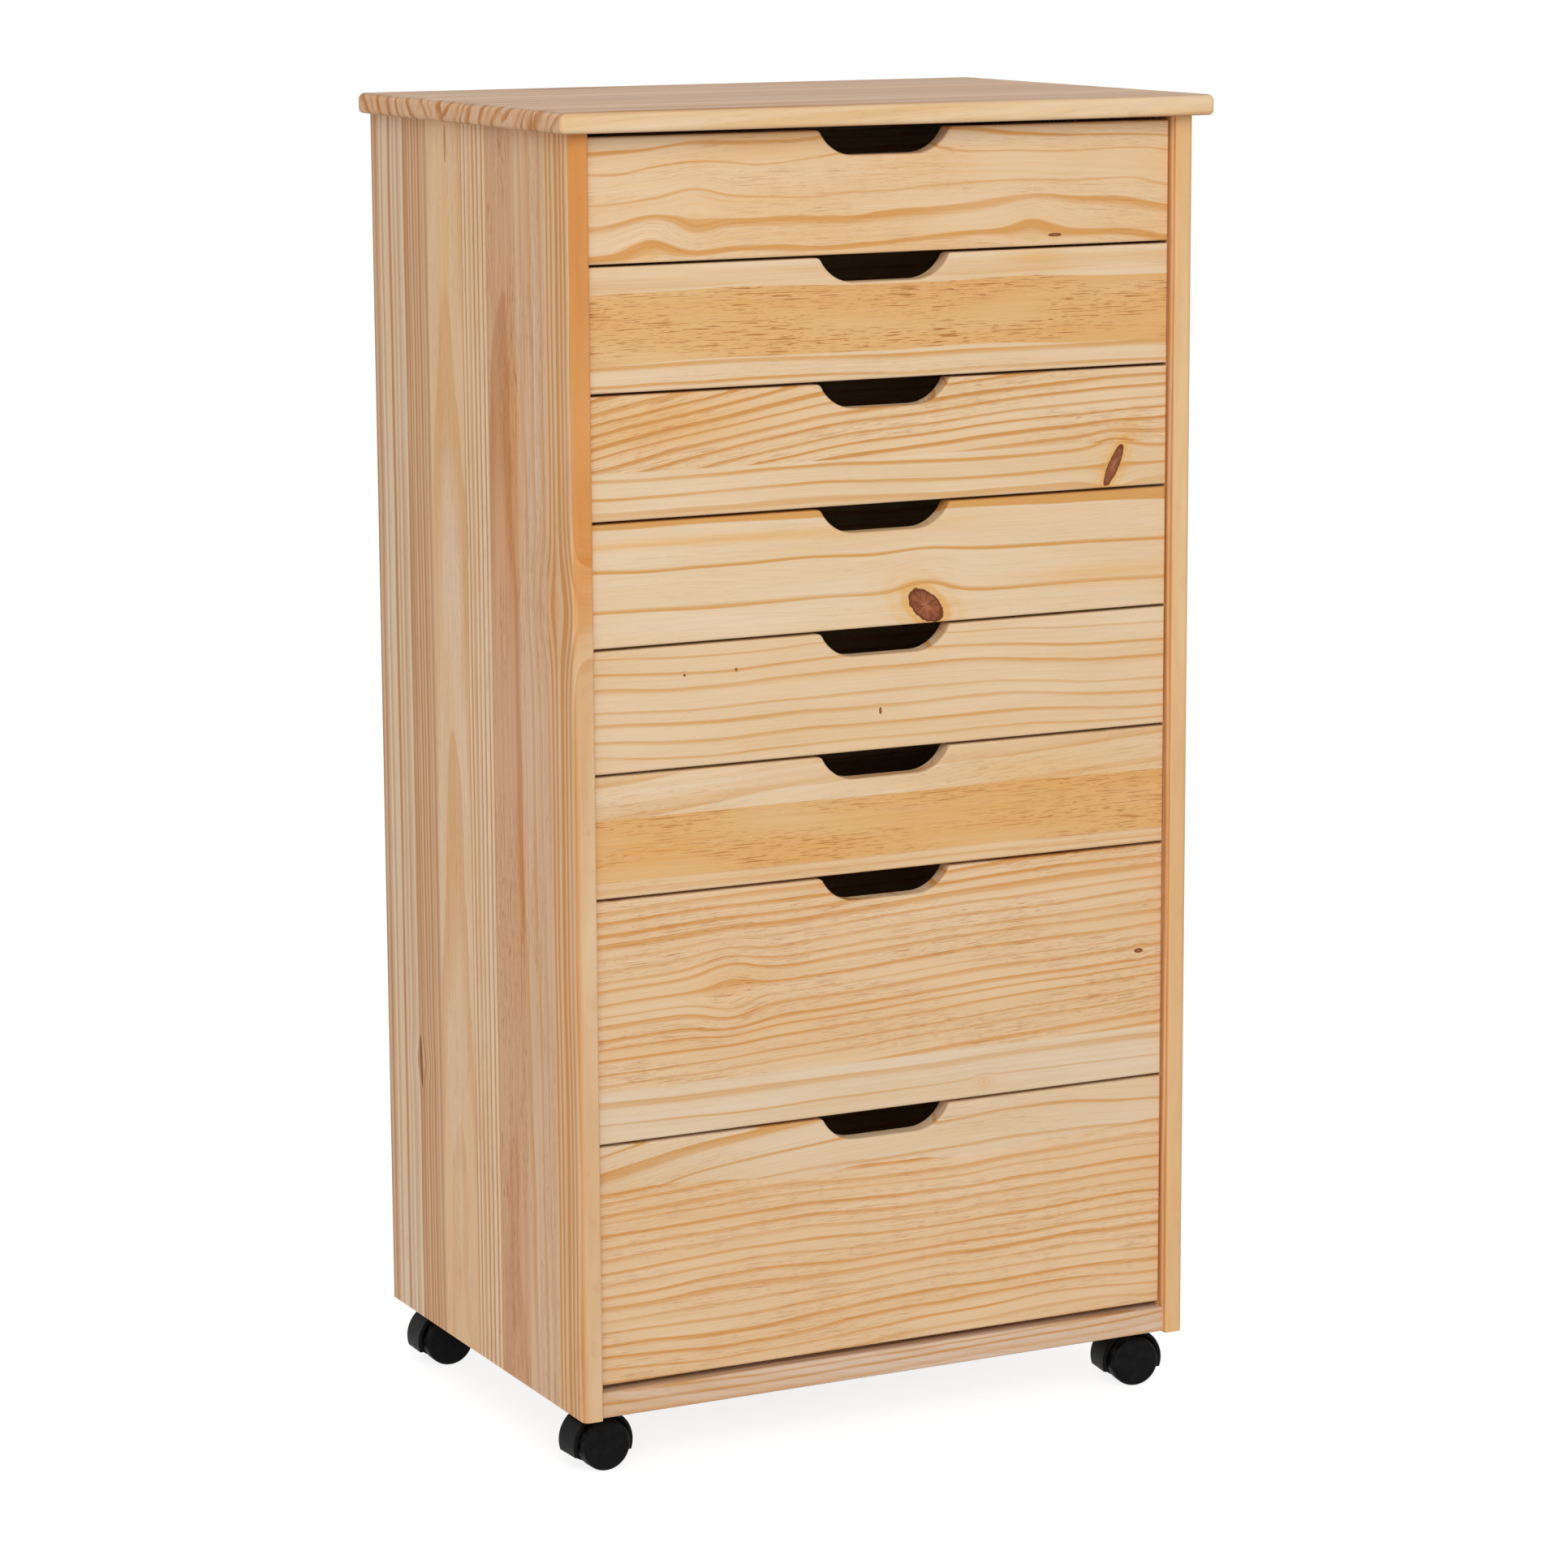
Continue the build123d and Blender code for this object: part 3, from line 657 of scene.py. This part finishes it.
def make_birch_ply():
    """Birch plywood: soft peeled figure on its faces, and the glued plies in its edges."""
    tree, given, leaving = shader_group(
        "birch_ply", {"Place": "Vector", "Edge": "Float", "Seed": "Float"}, surface_outputs)
    peel_waves, peel_lines = (0.8, 0.0, 5.0), 70.0
    pore_waves = (60.0, 1200.0, 1200.0)
    fibre_waves = (12.0, 900.0, 900.0)
    pale_birch = (0.77, 0.575, 0.37, 1)
    warm_birch = (0.68, 0.455, 0.255, 1)
    pore_brown = (0.42, 0.255, 0.12, 1)
    pale_ply = (0.66, 0.48, 0.29, 1)
    dark_ply = (0.36, 0.22, 0.11, 1)
    ply_thick = 0.0013
    sanded_roughness = 0.6
    along, depth, across = given["Place"].split()
    seeded = join(tree, along + given["Seed"], depth, across)
    peel = stretched_noise(tree, seeded, peel_waves)
    contour = ((peel * peel_lines).step("SINE") * 0.5 + 0.5).ease(0.2, 1.0)
    pore = stretched_noise(tree, seeded, pore_waves, 1.0).ease(0.62, 0.72)
    fibre = stretched_noise(tree, seeded, fibre_waves, 3.0) - 0.5
    face = blend_colors(tree, contour * 0.4, pale_birch, warm_birch)
    face = blend_colors(tree, pore * 0.3, face, pore_brown)
    ply = (depth / (2.0 * ply_thick)).step("FRACT").ease(0.45, 0.55)
    cut = blend_colors(tree, ply, pale_ply, dark_ply)
    wood = blend_colors(tree, given["Edge"], face, cut)
    shade = fibre * 0.18 + 1.0
    wood = blend_colors(tree, 1.0, wood, join(tree, shade, shade, shade), "MULTIPLY")
    fill(tree, leaving, Color=wood, Roughness=fibre * 0.2 + sanded_roughness, Height=fibre - pore * 0.5)
    return tree


birch_ply = make_birch_ply()


def plywood(name, axes, seed):
    """A sheet of unfinished birch plywood: axes name its directions along, through and across the grain."""
    material, tree, shader = new_material(name, specular=0.25)
    (along, depth, across), (_, facing_face, _) = board_place(tree, axes, (0.0, 0.0, 0.0))
    edge = facing_face.ease(0.4, 0.7).opposite()
    wood = use_group(tree, birch_ply, Place=join(tree, along, depth, across), Edge=edge, Seed=seed)
    finish_surface(tree, shader, wood, relief=0.00008)
    return material


def geometry_tree(name, inputs):
    """An empty geometry tree with named inputs: the tree, its inputs and its output node."""
    return node_group(name, "GeometryNodeTree", inputs, {"Geometry": "Geometry"})


def add_node(tree, kind, outlet, settings=None, **inputs):
    """Adds a node with its settings and inputs, and gives back the named outlet."""
    node = tree.nodes.new(kind)
    for name, value in (settings or {}).items():
        setattr(node, name, value)
    fill(tree, node, **inputs)
    return node.outputs[outlet]


def make_real(tree, instances, material):
    """Makes a tree's copies real and gives them their material."""
    real = add_node(tree, "GeometryNodeRealizeInstances", "Geometry", Geometry=instances)
    return add_node(tree, "GeometryNodeSetMaterial", "Geometry", Geometry=real, Material=material)


scene = bpy.context.scene


def grow(name, tree, values, points=()):
    """Runs a geometry tree on a set of points, and leaves its result as a plain mesh piece."""
    seeds = bpy.data.meshes.new(name)
    seeds.from_pydata(points, [], [])
    piece = bpy.data.objects.new(name, seeds)
    scene.collection.objects.link(piece)
    modifier = piece.modifiers.new("grow", "NODES")
    modifier.node_group = tree
    for item in tree.interface.items_tree:
        if item.in_out == "INPUT" and item.name in values:
            modifier[item.identifier] = values[item.name]
    grown = piece.evaluated_get(bpy.context.evaluated_depsgraph_get())
    mesh = bpy.data.meshes.new_from_object(grown)
    piece.modifiers.clear()
    piece.data = mesh
    return piece


def make_nail_row():
    """Flat nail heads at even steps round an upright rectangle, each a little off its line."""
    tree, given, leaving = geometry_tree("nail_row", {
        "Width": "Float", "Height": "Float", "Centre": "Vector", "Spacing": "Float",
        "Head Radius": "Float", "Head Rise": "Float", "Stray": "Vector", "Material": "Material",
    })
    upright = (math.pi / 2, 0.0, math.pi)
    head_sides = 14
    rim_share = 0.8
    stray_seed = 7
    outline = add_node(tree, "GeometryNodeCurvePrimitiveQuadrilateral", "Curve",
                       Width=given["Width"], Height=given["Height"])
    steps = add_node(tree, "GeometryNodeResampleCurve", "Curve", {"mode": "LENGTH"},
                     Curve=outline, Length=given["Spacing"])
    low_stray = add_node(tree, "ShaderNodeVectorMath", "Vector", {"operation": "SCALE"},
                         Vector=given["Stray"], Scale=-1.0)
    stray = add_node(tree, "FunctionNodeRandomValue", "Value", {"data_type": "FLOAT_VECTOR"},
                     Min=low_stray, Max=given["Stray"], Seed=stray_seed)
    places = add_node(tree, "GeometryNodeSetPosition", "Geometry", Geometry=steps, Offset=stray)
    rim = add_node(tree, "ShaderNodeMath", "Value", {"operation": "MULTIPLY"}, Value=given["Head Radius"])
    rim.node.inputs[1].default_value = rim_share
    head = add_node(tree, "GeometryNodeMeshCone", "Mesh", Vertices=head_sides,
                    Radius_Top=rim, Radius_Bottom=given["Head Radius"], Depth=given["Head Rise"])
    nails = add_node(tree, "GeometryNodeInstanceOnPoints", "Instances", Points=places, Instance=head)
    placed = add_node(tree, "GeometryNodeTransform", "Geometry", Geometry=nails,
                      Translation=given["Centre"], Rotation=upright)
    tree.links.new(make_real(tree, placed, given["Material"]), leaving.inputs["Geometry"])
    return tree


dress("back_panel", plywood("back_plywood", "ZYX", 6.0))
back_low, back_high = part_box("back_panel")
nail_inset = 0.006
nail_steel = metal("nail_steel", bright=(0.36, 0.35, 0.34), dull=(0.20, 0.19, 0.18), relief=0.00001)
back_nails = grow("back_nails", make_nail_row(), {
    "Width": back_high.x - back_low.x - 2 * nail_inset,
    "Height": back_high.z - back_low.z - 2 * nail_inset,
    "Centre": (0.0, back_high.y, (back_low.z + back_high.z) / 2),
    "Spacing": 0.085, "Head Radius": 0.0027, "Head Rise": 0.0008,
    "Stray": (0.0012, 0.0012, 0.0), "Material": nail_steel,
})
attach(back_nails, "cabinet")

# Runners
# Planed beech strips, one for each drawer on each side panel, that the drawer's groove slides along.
# Three countersunk cross-recess screws hold each one, their heads almost flush with the wood.


def make_screw_heads():
    """Flush screw heads with a cross recess, one on each point, each turned its own way about X; a dark disc
    of painted shade lies under the cut-through cross.
    """
    tree, given, leaving = geometry_tree("screw_heads", {
        "Places": "Geometry", "Head Radius": "Float", "Head Rise": "Float", "Recess Width": "Float",
        "Recess Length": "Float", "Material": "Material", "Recess Material": "Material",
    })
    quarter_turn = math.pi / 2
    head_sides = 20
    shade_disc_scale = (0.96, 0.96, 0.3)
    turn_seed = 3
    disc = add_node(tree, "GeometryNodeMeshCylinder", "Mesh", Vertices=head_sides,
                    Radius=given["Head Radius"], Depth=given["Head Rise"])
    bar_size = add_node(tree, "ShaderNodeCombineXYZ", "Vector",
                        X=given["Recess Length"], Y=given["Recess Width"], Z=given["Head Radius"])
    bar = add_node(tree, "GeometryNodeMeshCube", "Mesh", Size=bar_size)
    crossing = add_node(tree, "GeometryNodeTransform", "Geometry", Geometry=bar,
                        Rotation=(0.0, 0.0, quarter_turn))
    cut = disc
    for slot in (bar, crossing):
        cut = add_node(tree, "GeometryNodeMeshBoolean", "Mesh", {"operation": "DIFFERENCE"},
                       Mesh_1=cut, Mesh_2=slot)
    # A thin dark disc under the cut-through cross is painted shade, so that the recess looks deep.
    flat = add_node(tree, "GeometryNodeTransform", "Geometry", Geometry=disc, Scale=shade_disc_scale)
    recess = add_node(tree, "GeometryNodeStoreNamedAttribute", "Geometry",
                      {"data_type": "BOOLEAN", "domain": "FACE"}, Geometry=flat, Name="recess", Value=True)
    both = add_node(tree, "GeometryNodeJoinGeometry", "Geometry")
    for part in (cut, recess):
        tree.links.new(part, both.node.inputs["Geometry"])
    sideways = add_node(tree, "GeometryNodeTransform", "Geometry", Geometry=both,
                        Rotation=(0.0, quarter_turn, 0.0))
    turn = add_node(tree, "FunctionNodeRandomValue", "Value", {"data_type": "FLOAT_VECTOR"},
                    Min=(0.0, 0.0, 0.0), Max=(math.pi, 0.0, 0.0), Seed=turn_seed)
    screws = add_node(tree, "GeometryNodeInstanceOnPoints", "Instances", Points=given["Places"],
                      Instance=sideways, Rotation=turn)
    bright = make_real(tree, screws, given["Material"])
    chosen = add_node(tree, "GeometryNodeInputNamedAttribute", "Attribute", {"data_type": "BOOLEAN"},
                      Name="recess")
    dark = add_node(tree, "GeometryNodeSetMaterial", "Geometry", Geometry=bright, Selection=chosen,
                    Material=given["Recess Material"])
    tree.links.new(dark, leaving.inputs["Geometry"])
    return tree


def runner_heights(node_name):
    """The middle height of each runner, found inside the height of its drawer's sides."""
    drawer_count = 8
    heights = []
    for number in range(1, drawer_count + 1):
        low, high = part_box(f"drawer_{number}_sides")
        corners = frame["nodes"][node_name].data.vertices
        inside = [corner.co.z for corner in corners if low.z < corner.co.z < high.z]
        heights.append((min(inside) + max(inside)) / 2)
    return heights


runner_beech = beech("runner_beech", "YXZ", 7.0)
# Near-black steel for the disc under each cross recess: painted shade standing for the recess's depth.
recess_painted_shade = metal("recess_painted_shade", bright=(0.10, 0.10, 0.10), dull=(0.05, 0.05, 0.05), relief=0.00001)
screw_heads = make_screw_heads()
screw_shares = (0.08, 0.5, 0.92)
screw_rise = 0.0002
for side_name in ("left", "right"):
    node_name = f"{side_name}_runners"
    dress(node_name, runner_beech)
    runner_low, runner_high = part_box(node_name)
    runner_face = runner_high.x if side_name == "left" else runner_low.x
    runner_length = runner_high.y - runner_low.y
    screw_places = [
        (runner_face, runner_low.y + share * runner_length, height)
        for height in runner_heights(node_name)
        for share in screw_shares
    ]
    runner_screws = grow(f"{side_name}_runner_screws", screw_heads, {
        "Head Radius": 0.0035, "Head Rise": 2 * screw_rise, "Recess Width": 0.0009,
        "Recess Length": 0.0042, "Material": plated_steel, "Recess Material": recess_painted_shade,
    }, screw_places)
    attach(runner_screws, "cabinet")

# Drawer fronts
# Inset pine boards with a finger notch sawn into the top edge and every edge rounded over.
# Each is cut from its own plank, some with a band of heartwood, so rings, resin and knots differ on each.
heart = (0.97, 0.81, 0.58)
tan = (1.00, 0.94, 0.89)
pale = (1.01, 1.01, 1.03)
cool = (0.98, 1.01, 1.09)
fronts = {
    1: {"strips": [strip(0.0, (0.030, -0.045), 0.017, lean=(0.0, -0.01), bow=-0.15, wander=0.020, late=0.3,
                         contrast=0.8, tone=(1.02, 1.00, 1.00), cloud=0.45, resin=0.4)],
        "knots": [knot(0.146, 0.008, 0.006, 0.0014, bend=0.4),
                  knot(0.126, 0.007, 0.016, 0.008, shown=0.0, glow=0.7),
                  knot(-0.158, 0.032, 0.013, 0.008, shown=0.0, glow=0.6),
                  knot(-0.195, 0.004, 0.018, 0.009, shown=0.0, glow=0.7)]},
    2: {"strips": [strip(0.0, (0.040, -0.080), 0.012, late=0.35, contrast=0.8, tone=pale),
                   strip(0.020, (0.120, 0.045), 0.010, contrast=0.4, tone=heart, cloud=0.4, resin=1.0),
                   strip(0.071, (0.080, 0.200), 0.030, contrast=0.25, tone=pale, resin=0.1)],
        "knots": [stain(0.130, 0.086, 0.016, 0.007, glow=0.7)],
        "waves": 0.02},
    3: {"strips": [strip(0.0, (0.040, -0.060), 0.011, late=0.4, contrast=0.7, tone=pale, resin=0.1),
                   strip(0.035, (0.050, -0.050), 0.008, lean=(0.0, 0.10), bow=-0.22, contrast=1.1,
                         dark=0.15, tone=(1.01, 0.97, 0.93), resin=0.6)],
        "knots": [knot(0.199, 0.017, 0.018, 0.0048, turn=64.0, glow=2.2),
                  stain(-0.190, 0.072, 0.040, 0.012, glow=0.8)]},
    4: {"strips": [strip(0.0, (0.050, 0.246), 0.033, lean=(0.0, -0.01), late=0.34, contrast=1.1, tone=pale,
                         streak=0.25, resin=0.1)],
        "knots": [knot(0.034, 0.014, 0.0175, 0.0105, turn=-38.0, glow=2.0),
                  stain(0.190, 0.028, 0.045, 0.004, glow=0.9), stain(-0.150, 0.076, 0.140, 0.002, glow=0.9)]},
    5: {"strips": [strip(0.0, (0.050, -0.120), 0.0125, lean=(0.0, -0.012), wander=0.008, late=0.38,
                         contrast=0.8, tone=pale, cloud=0.15, streak=0.3, resin=0.1)],
        "knots": [knot(-0.005, 0.030, 0.0012, 0.0028, glow=0.3),
                  knot(-0.170, 0.070, 0.0011, 0.0011, glow=0.0),
                  knot(-0.127, 0.071, 0.0011, 0.0011, glow=0.0)]},
    6: {"strips": [strip(0.0, (0.040, -0.090), 0.007, late=0.4, contrast=0.6, tone=tan, streak=0.8),
                   strip(0.012, (0.090, 0.030), 0.011, contrast=0.5, tone=heart, cloud=0.5, resin=0.9),
                   strip(0.059, (0.060, 0.140), 0.018, lean=(0.0, 0.06), late=0.35, contrast=0.6, tone=pale)],
        "knots": [stain(-0.195, 0.033, 0.040, 0.008, glow=0.7), stain(0.140, 0.066, 0.045, 0.007, glow=0.6)],
        "waves": 0.006},
    7: {"strips": [strip(0.0, (0.050, -0.070), 0.014, late=0.35, contrast=0.6, tone=cool, resin=0.1),
                   strip(0.040, (0.040, -0.150), 0.009, lean=(0.0, 0.035), contrast=0.7, tone=tan,
                         resin=0.65)],
        "knots": [knot(-0.134, 0.108, 0.016, 0.009, shown=0.0, glow=0.5), knot(0.225, 0.102, 0.004, 0.0018),
                  knot(0.086, 0.011, 0.004, 0.003, shown=0.0)]},
    8: {"strips": [strip(0.0, (0.050, -0.100), 0.009, lean=(0.0, 0.01), wander=0.010, contrast=0.8, tone=tan,
                         resin=0.5),
                   strip(0.145, (0.050, -0.100), 0.020, lean=(0.0, 0.05), bow=-0.3, wander=0.012, late=0.35,
                         contrast=0.8, tone=(0.98, 0.98, 1.02))],
        "waves": 0.05},
}
first_front_seed = 10.0
for number, figure in fronts.items():
    front_low, front_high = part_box(f"drawer_{number}_front")
    front_origin = (0.0, front_low.y, front_low.z)
    dress(f"drawer_{number}_front", pine_board(
        f"drawer_{number}_pine", "XYZ", front_origin, front_high.z - front_low.z, figure["strips"],
        figure.get("knots", ()), first_front_seed + number, figure.get("waves", 0.0)))

# Drawer boxes
# Planed pine sides and a back behind each front, grooved for the runners and for the plywood floor.
# They are plainer than the outside, and their grain runs the long way of each board.
box_strips = [strip(0.0, (0.060, -0.060), 0.009, lean=(0.02, 0.01), contrast=0.6, tone=(0.97, 0.95, 0.92))]
box_height = cad_high.z
side_pine = pine_board("drawer_side_pine", "YXZ", (0.0, 0.0, 0.0), box_height, box_strips, seed=31.0)
back_pine = pine_board("drawer_back_pine", "XYZ", (0.0, 0.0, 0.0), box_height, box_strips, seed=32.0)
floor_plywood = plywood("floor_plywood", "XZY", 8.0)
for number in fronts:
    dress(f"drawer_{number}_sides", side_pine)
    dress(f"drawer_{number}_back", back_pine)
    dress(f"drawer_{number}_floor", floor_plywood)

# Casters
# Four bought-in twin-wheel casters: a black moulded hood and two black wheels that turn on a steel axle.
# A steel stem stands in each hood and pushes up into a plastic plug in the bottom board.


def make_moulded_plastic():
    """Black moulded plastic: a fine eroded texture, with grey dust rubbed in where it is told to lie."""
    tree, given, leaving = shader_group(
        "moulded_plastic", {"Place": "Vector", "Dust": "Float"}, surface_outputs)
    pebble_waves = (2200.0, 2200.0, 2200.0)
    drift_waves = (140.0, 140.0, 140.0)
    deep_black = (0.0050, 0.0050, 0.0052, 1)
    worn_black = (0.0085, 0.0085, 0.0088, 1)
    dust_grey = (0.055, 0.052, 0.048, 1)
    moulded_roughness = 0.42
    pebbles = stretched_noise(tree, given["Place"], pebble_waves) - 0.5
    drifts = stretched_noise(tree, given["Place"], drift_waves, 3.0).ease(0.38, 0.72)
    black = blend_colors(tree, drifts, deep_black, worn_black)
    dusty = blend_colors(tree, given["Dust"] * drifts, black, dust_grey)
    fill(
        tree, leaving,
        Color=dusty,
        Roughness=pebbles * 0.15 + drifts * 0.08 + given["Dust"] * 0.2 + moulded_roughness,
        Height=pebbles,
    )
    return tree


moulded_plastic = make_moulded_plastic()


def plastic(name, axle=None):
    """Black plastic; on a wheel, the tread that faces away from its axle picks up dust."""
    material, tree, shader = new_material(name, specular=0.06)
    dust = 0.0
    if axle:
        facing = Signal(tree, tree.nodes.new("ShaderNodeTexCoord").outputs["Normal"])
        dust = facing.dot(axle).step("ABSOLUTE").ease(0.2, 0.6).opposite() * 0.5
    surface = use_group(tree, moulded_plastic, Place=object_place(tree), Dust=dust)
    finish_surface(tree, shader, surface, relief=0.00004)
    return material


hood_plastic = plastic("hood_plastic")
dress("caster_inserts", hood_plastic)
dress("caster_stems", plated_steel)
spins = {joint["name"]: joint["axis"] for joint in frame["record"]["behaviour"]["joints"]}
for corner in ("front_left", "back_left", "front_right", "back_right"):
    wheel_plastic = plastic(f"{corner}_wheel_plastic", spins[f"{corner}_front_wheel_spin"])
    dress(f"{corner}_caster_hood", hood_plastic)
    dress(f"{corner}_caster_axle", plated_steel)
    for place in ("front", "back"):
        dress(f"{corner}_caster_{place}_wheel", wheel_plastic)

# Floor, light and camera
# A pale studio floor and a white studio, under a broad lamp, a lamp above the front and a weak back lamp.
# The floor keeps the cart's soft shadow, and the camera stands where the photograph was taken from.


def add_seen(tree):
    """1 for what the camera sees, by itself or in a mirror or glass, and 0 for what only lights the cart."""
    rays = tree.nodes.new("ShaderNodeLightPath")
    seen = Signal(tree, rays.outputs["Is Camera Ray"])
    for name in ("Is Glossy Ray", "Is Transmission Ray"):
        seen = seen.step("MAXIMUM", Signal(tree, rays.outputs[name]))
    return seen


floor_half = 60.0
floor_mesh = bpy.data.meshes.new("studio_floor")
floor_corners = [(x * floor_half, y * floor_half, 0) for x, y in ((-1, -1), (1, -1), (1, 1), (-1, 1))]
floor_mesh.from_pydata(floor_corners, [], [(0, 1, 2, 3)])
floor = bpy.data.objects.new("studio_floor", floor_mesh)
scene.collection.objects.link(floor)

floor_white = (0.9, 0.9, 0.9, 1)
white_share = 0.62
white_level = 1.34
floor_paint = bpy.data.materials.new("floor_paint")
floor_paint.use_nodes = True
floor_tree = floor_paint.node_tree
floor_tree.nodes.remove(floor_tree.nodes["Principled BSDF"])
matt = floor_tree.nodes.new("ShaderNodeBsdfDiffuse")
matt.inputs["Color"].default_value = floor_white
glow = floor_tree.nodes.new("ShaderNodeEmission")
glow.inputs["Strength"].default_value = white_level
paint = floor_tree.nodes.new("ShaderNodeMixShader")
feed(floor_tree, paint.inputs["Fac"], add_seen(floor_tree) * white_share)
floor_tree.links.new(matt.outputs["BSDF"], paint.inputs[1])
floor_tree.links.new(glow.outputs["Emission"], paint.inputs[2])
floor_tree.links.new(paint.outputs["Shader"], floor_tree.nodes["Material Output"].inputs["Surface"])
floor_mesh.materials.append(floor_paint)

scene.view_settings.view_transform = "Standard"
sky_light = 0.40
world = bpy.data.worlds.new("studio")
world.use_nodes = True
scene.world = world
sky = world.node_tree.nodes["Background"]
sky.inputs["Color"].default_value = (1, 1, 1, 1)
sky_strength = add_seen(world.node_tree) * (1.0 - sky_light) + sky_light
feed(world.node_tree, sky.inputs["Strength"], sky_strength)


def add_lamp(name, kind, energy, toward, place=(0.0, 0.0, 0.0)):
    """A lamp of the given kind and power, whose light comes from the given direction."""
    data = bpy.data.lights.new(name, kind)
    data.energy = energy
    lamp = bpy.data.objects.new(name, data)
    lamp.location = place
    lamp.rotation_mode = "QUATERNION"
    lamp.rotation_quaternion = Vector(toward).to_track_quat("Z", "Y")
    scene.collection.objects.link(lamp)
    return data


broad_lamp = add_lamp("broad_lamp", "SUN", energy=1.12, toward=(-0.34, -0.85, 0.42))
broad_lamp.angle = math.radians(50)
front_lamp_place = Vector((-0.9, -2.3, 2.2))
upper_front = Vector((0.0, -0.17, 0.8))
front_lamp = add_lamp("front_lamp", "AREA", energy=18.0, toward=front_lamp_place - upper_front,
                      place=front_lamp_place)
front_lamp.size = 1.4
back_lamp = add_lamp("back_lamp", "SUN", energy=0.8, toward=(0.45, 0.85, 0.22))
back_lamp.angle = math.radians(60)
back_lamp.specular_factor = 0.0

camera_data = bpy.data.cameras.new("photo_camera")
camera_data.lens = 112.36
camera_data.sensor_width = 36.0
camera = bpy.data.objects.new("photo_camera", camera_data)
camera_place = Vector((-1.7133, -3.4349, 1.1994))
yaw, pitch, roll = [math.radians(angle) for angle in (26.51, 10.501, -0.303)]
looking = Vector((math.sin(yaw) * math.cos(pitch), math.cos(yaw) * math.cos(pitch), -math.sin(pitch)))
level_right = looking.cross(Vector((0, 0, 1))).normalized()
level_up = level_right.cross(looking)
right = math.cos(roll) * level_right + math.sin(roll) * level_up
above = right.cross(looking)
turned = Matrix((right, above, -looking)).transposed()
camera.matrix_world = Matrix.Translation(camera_place) @ turned.to_4x4()
scene.collection.objects.link(camera)
scene.camera = camera
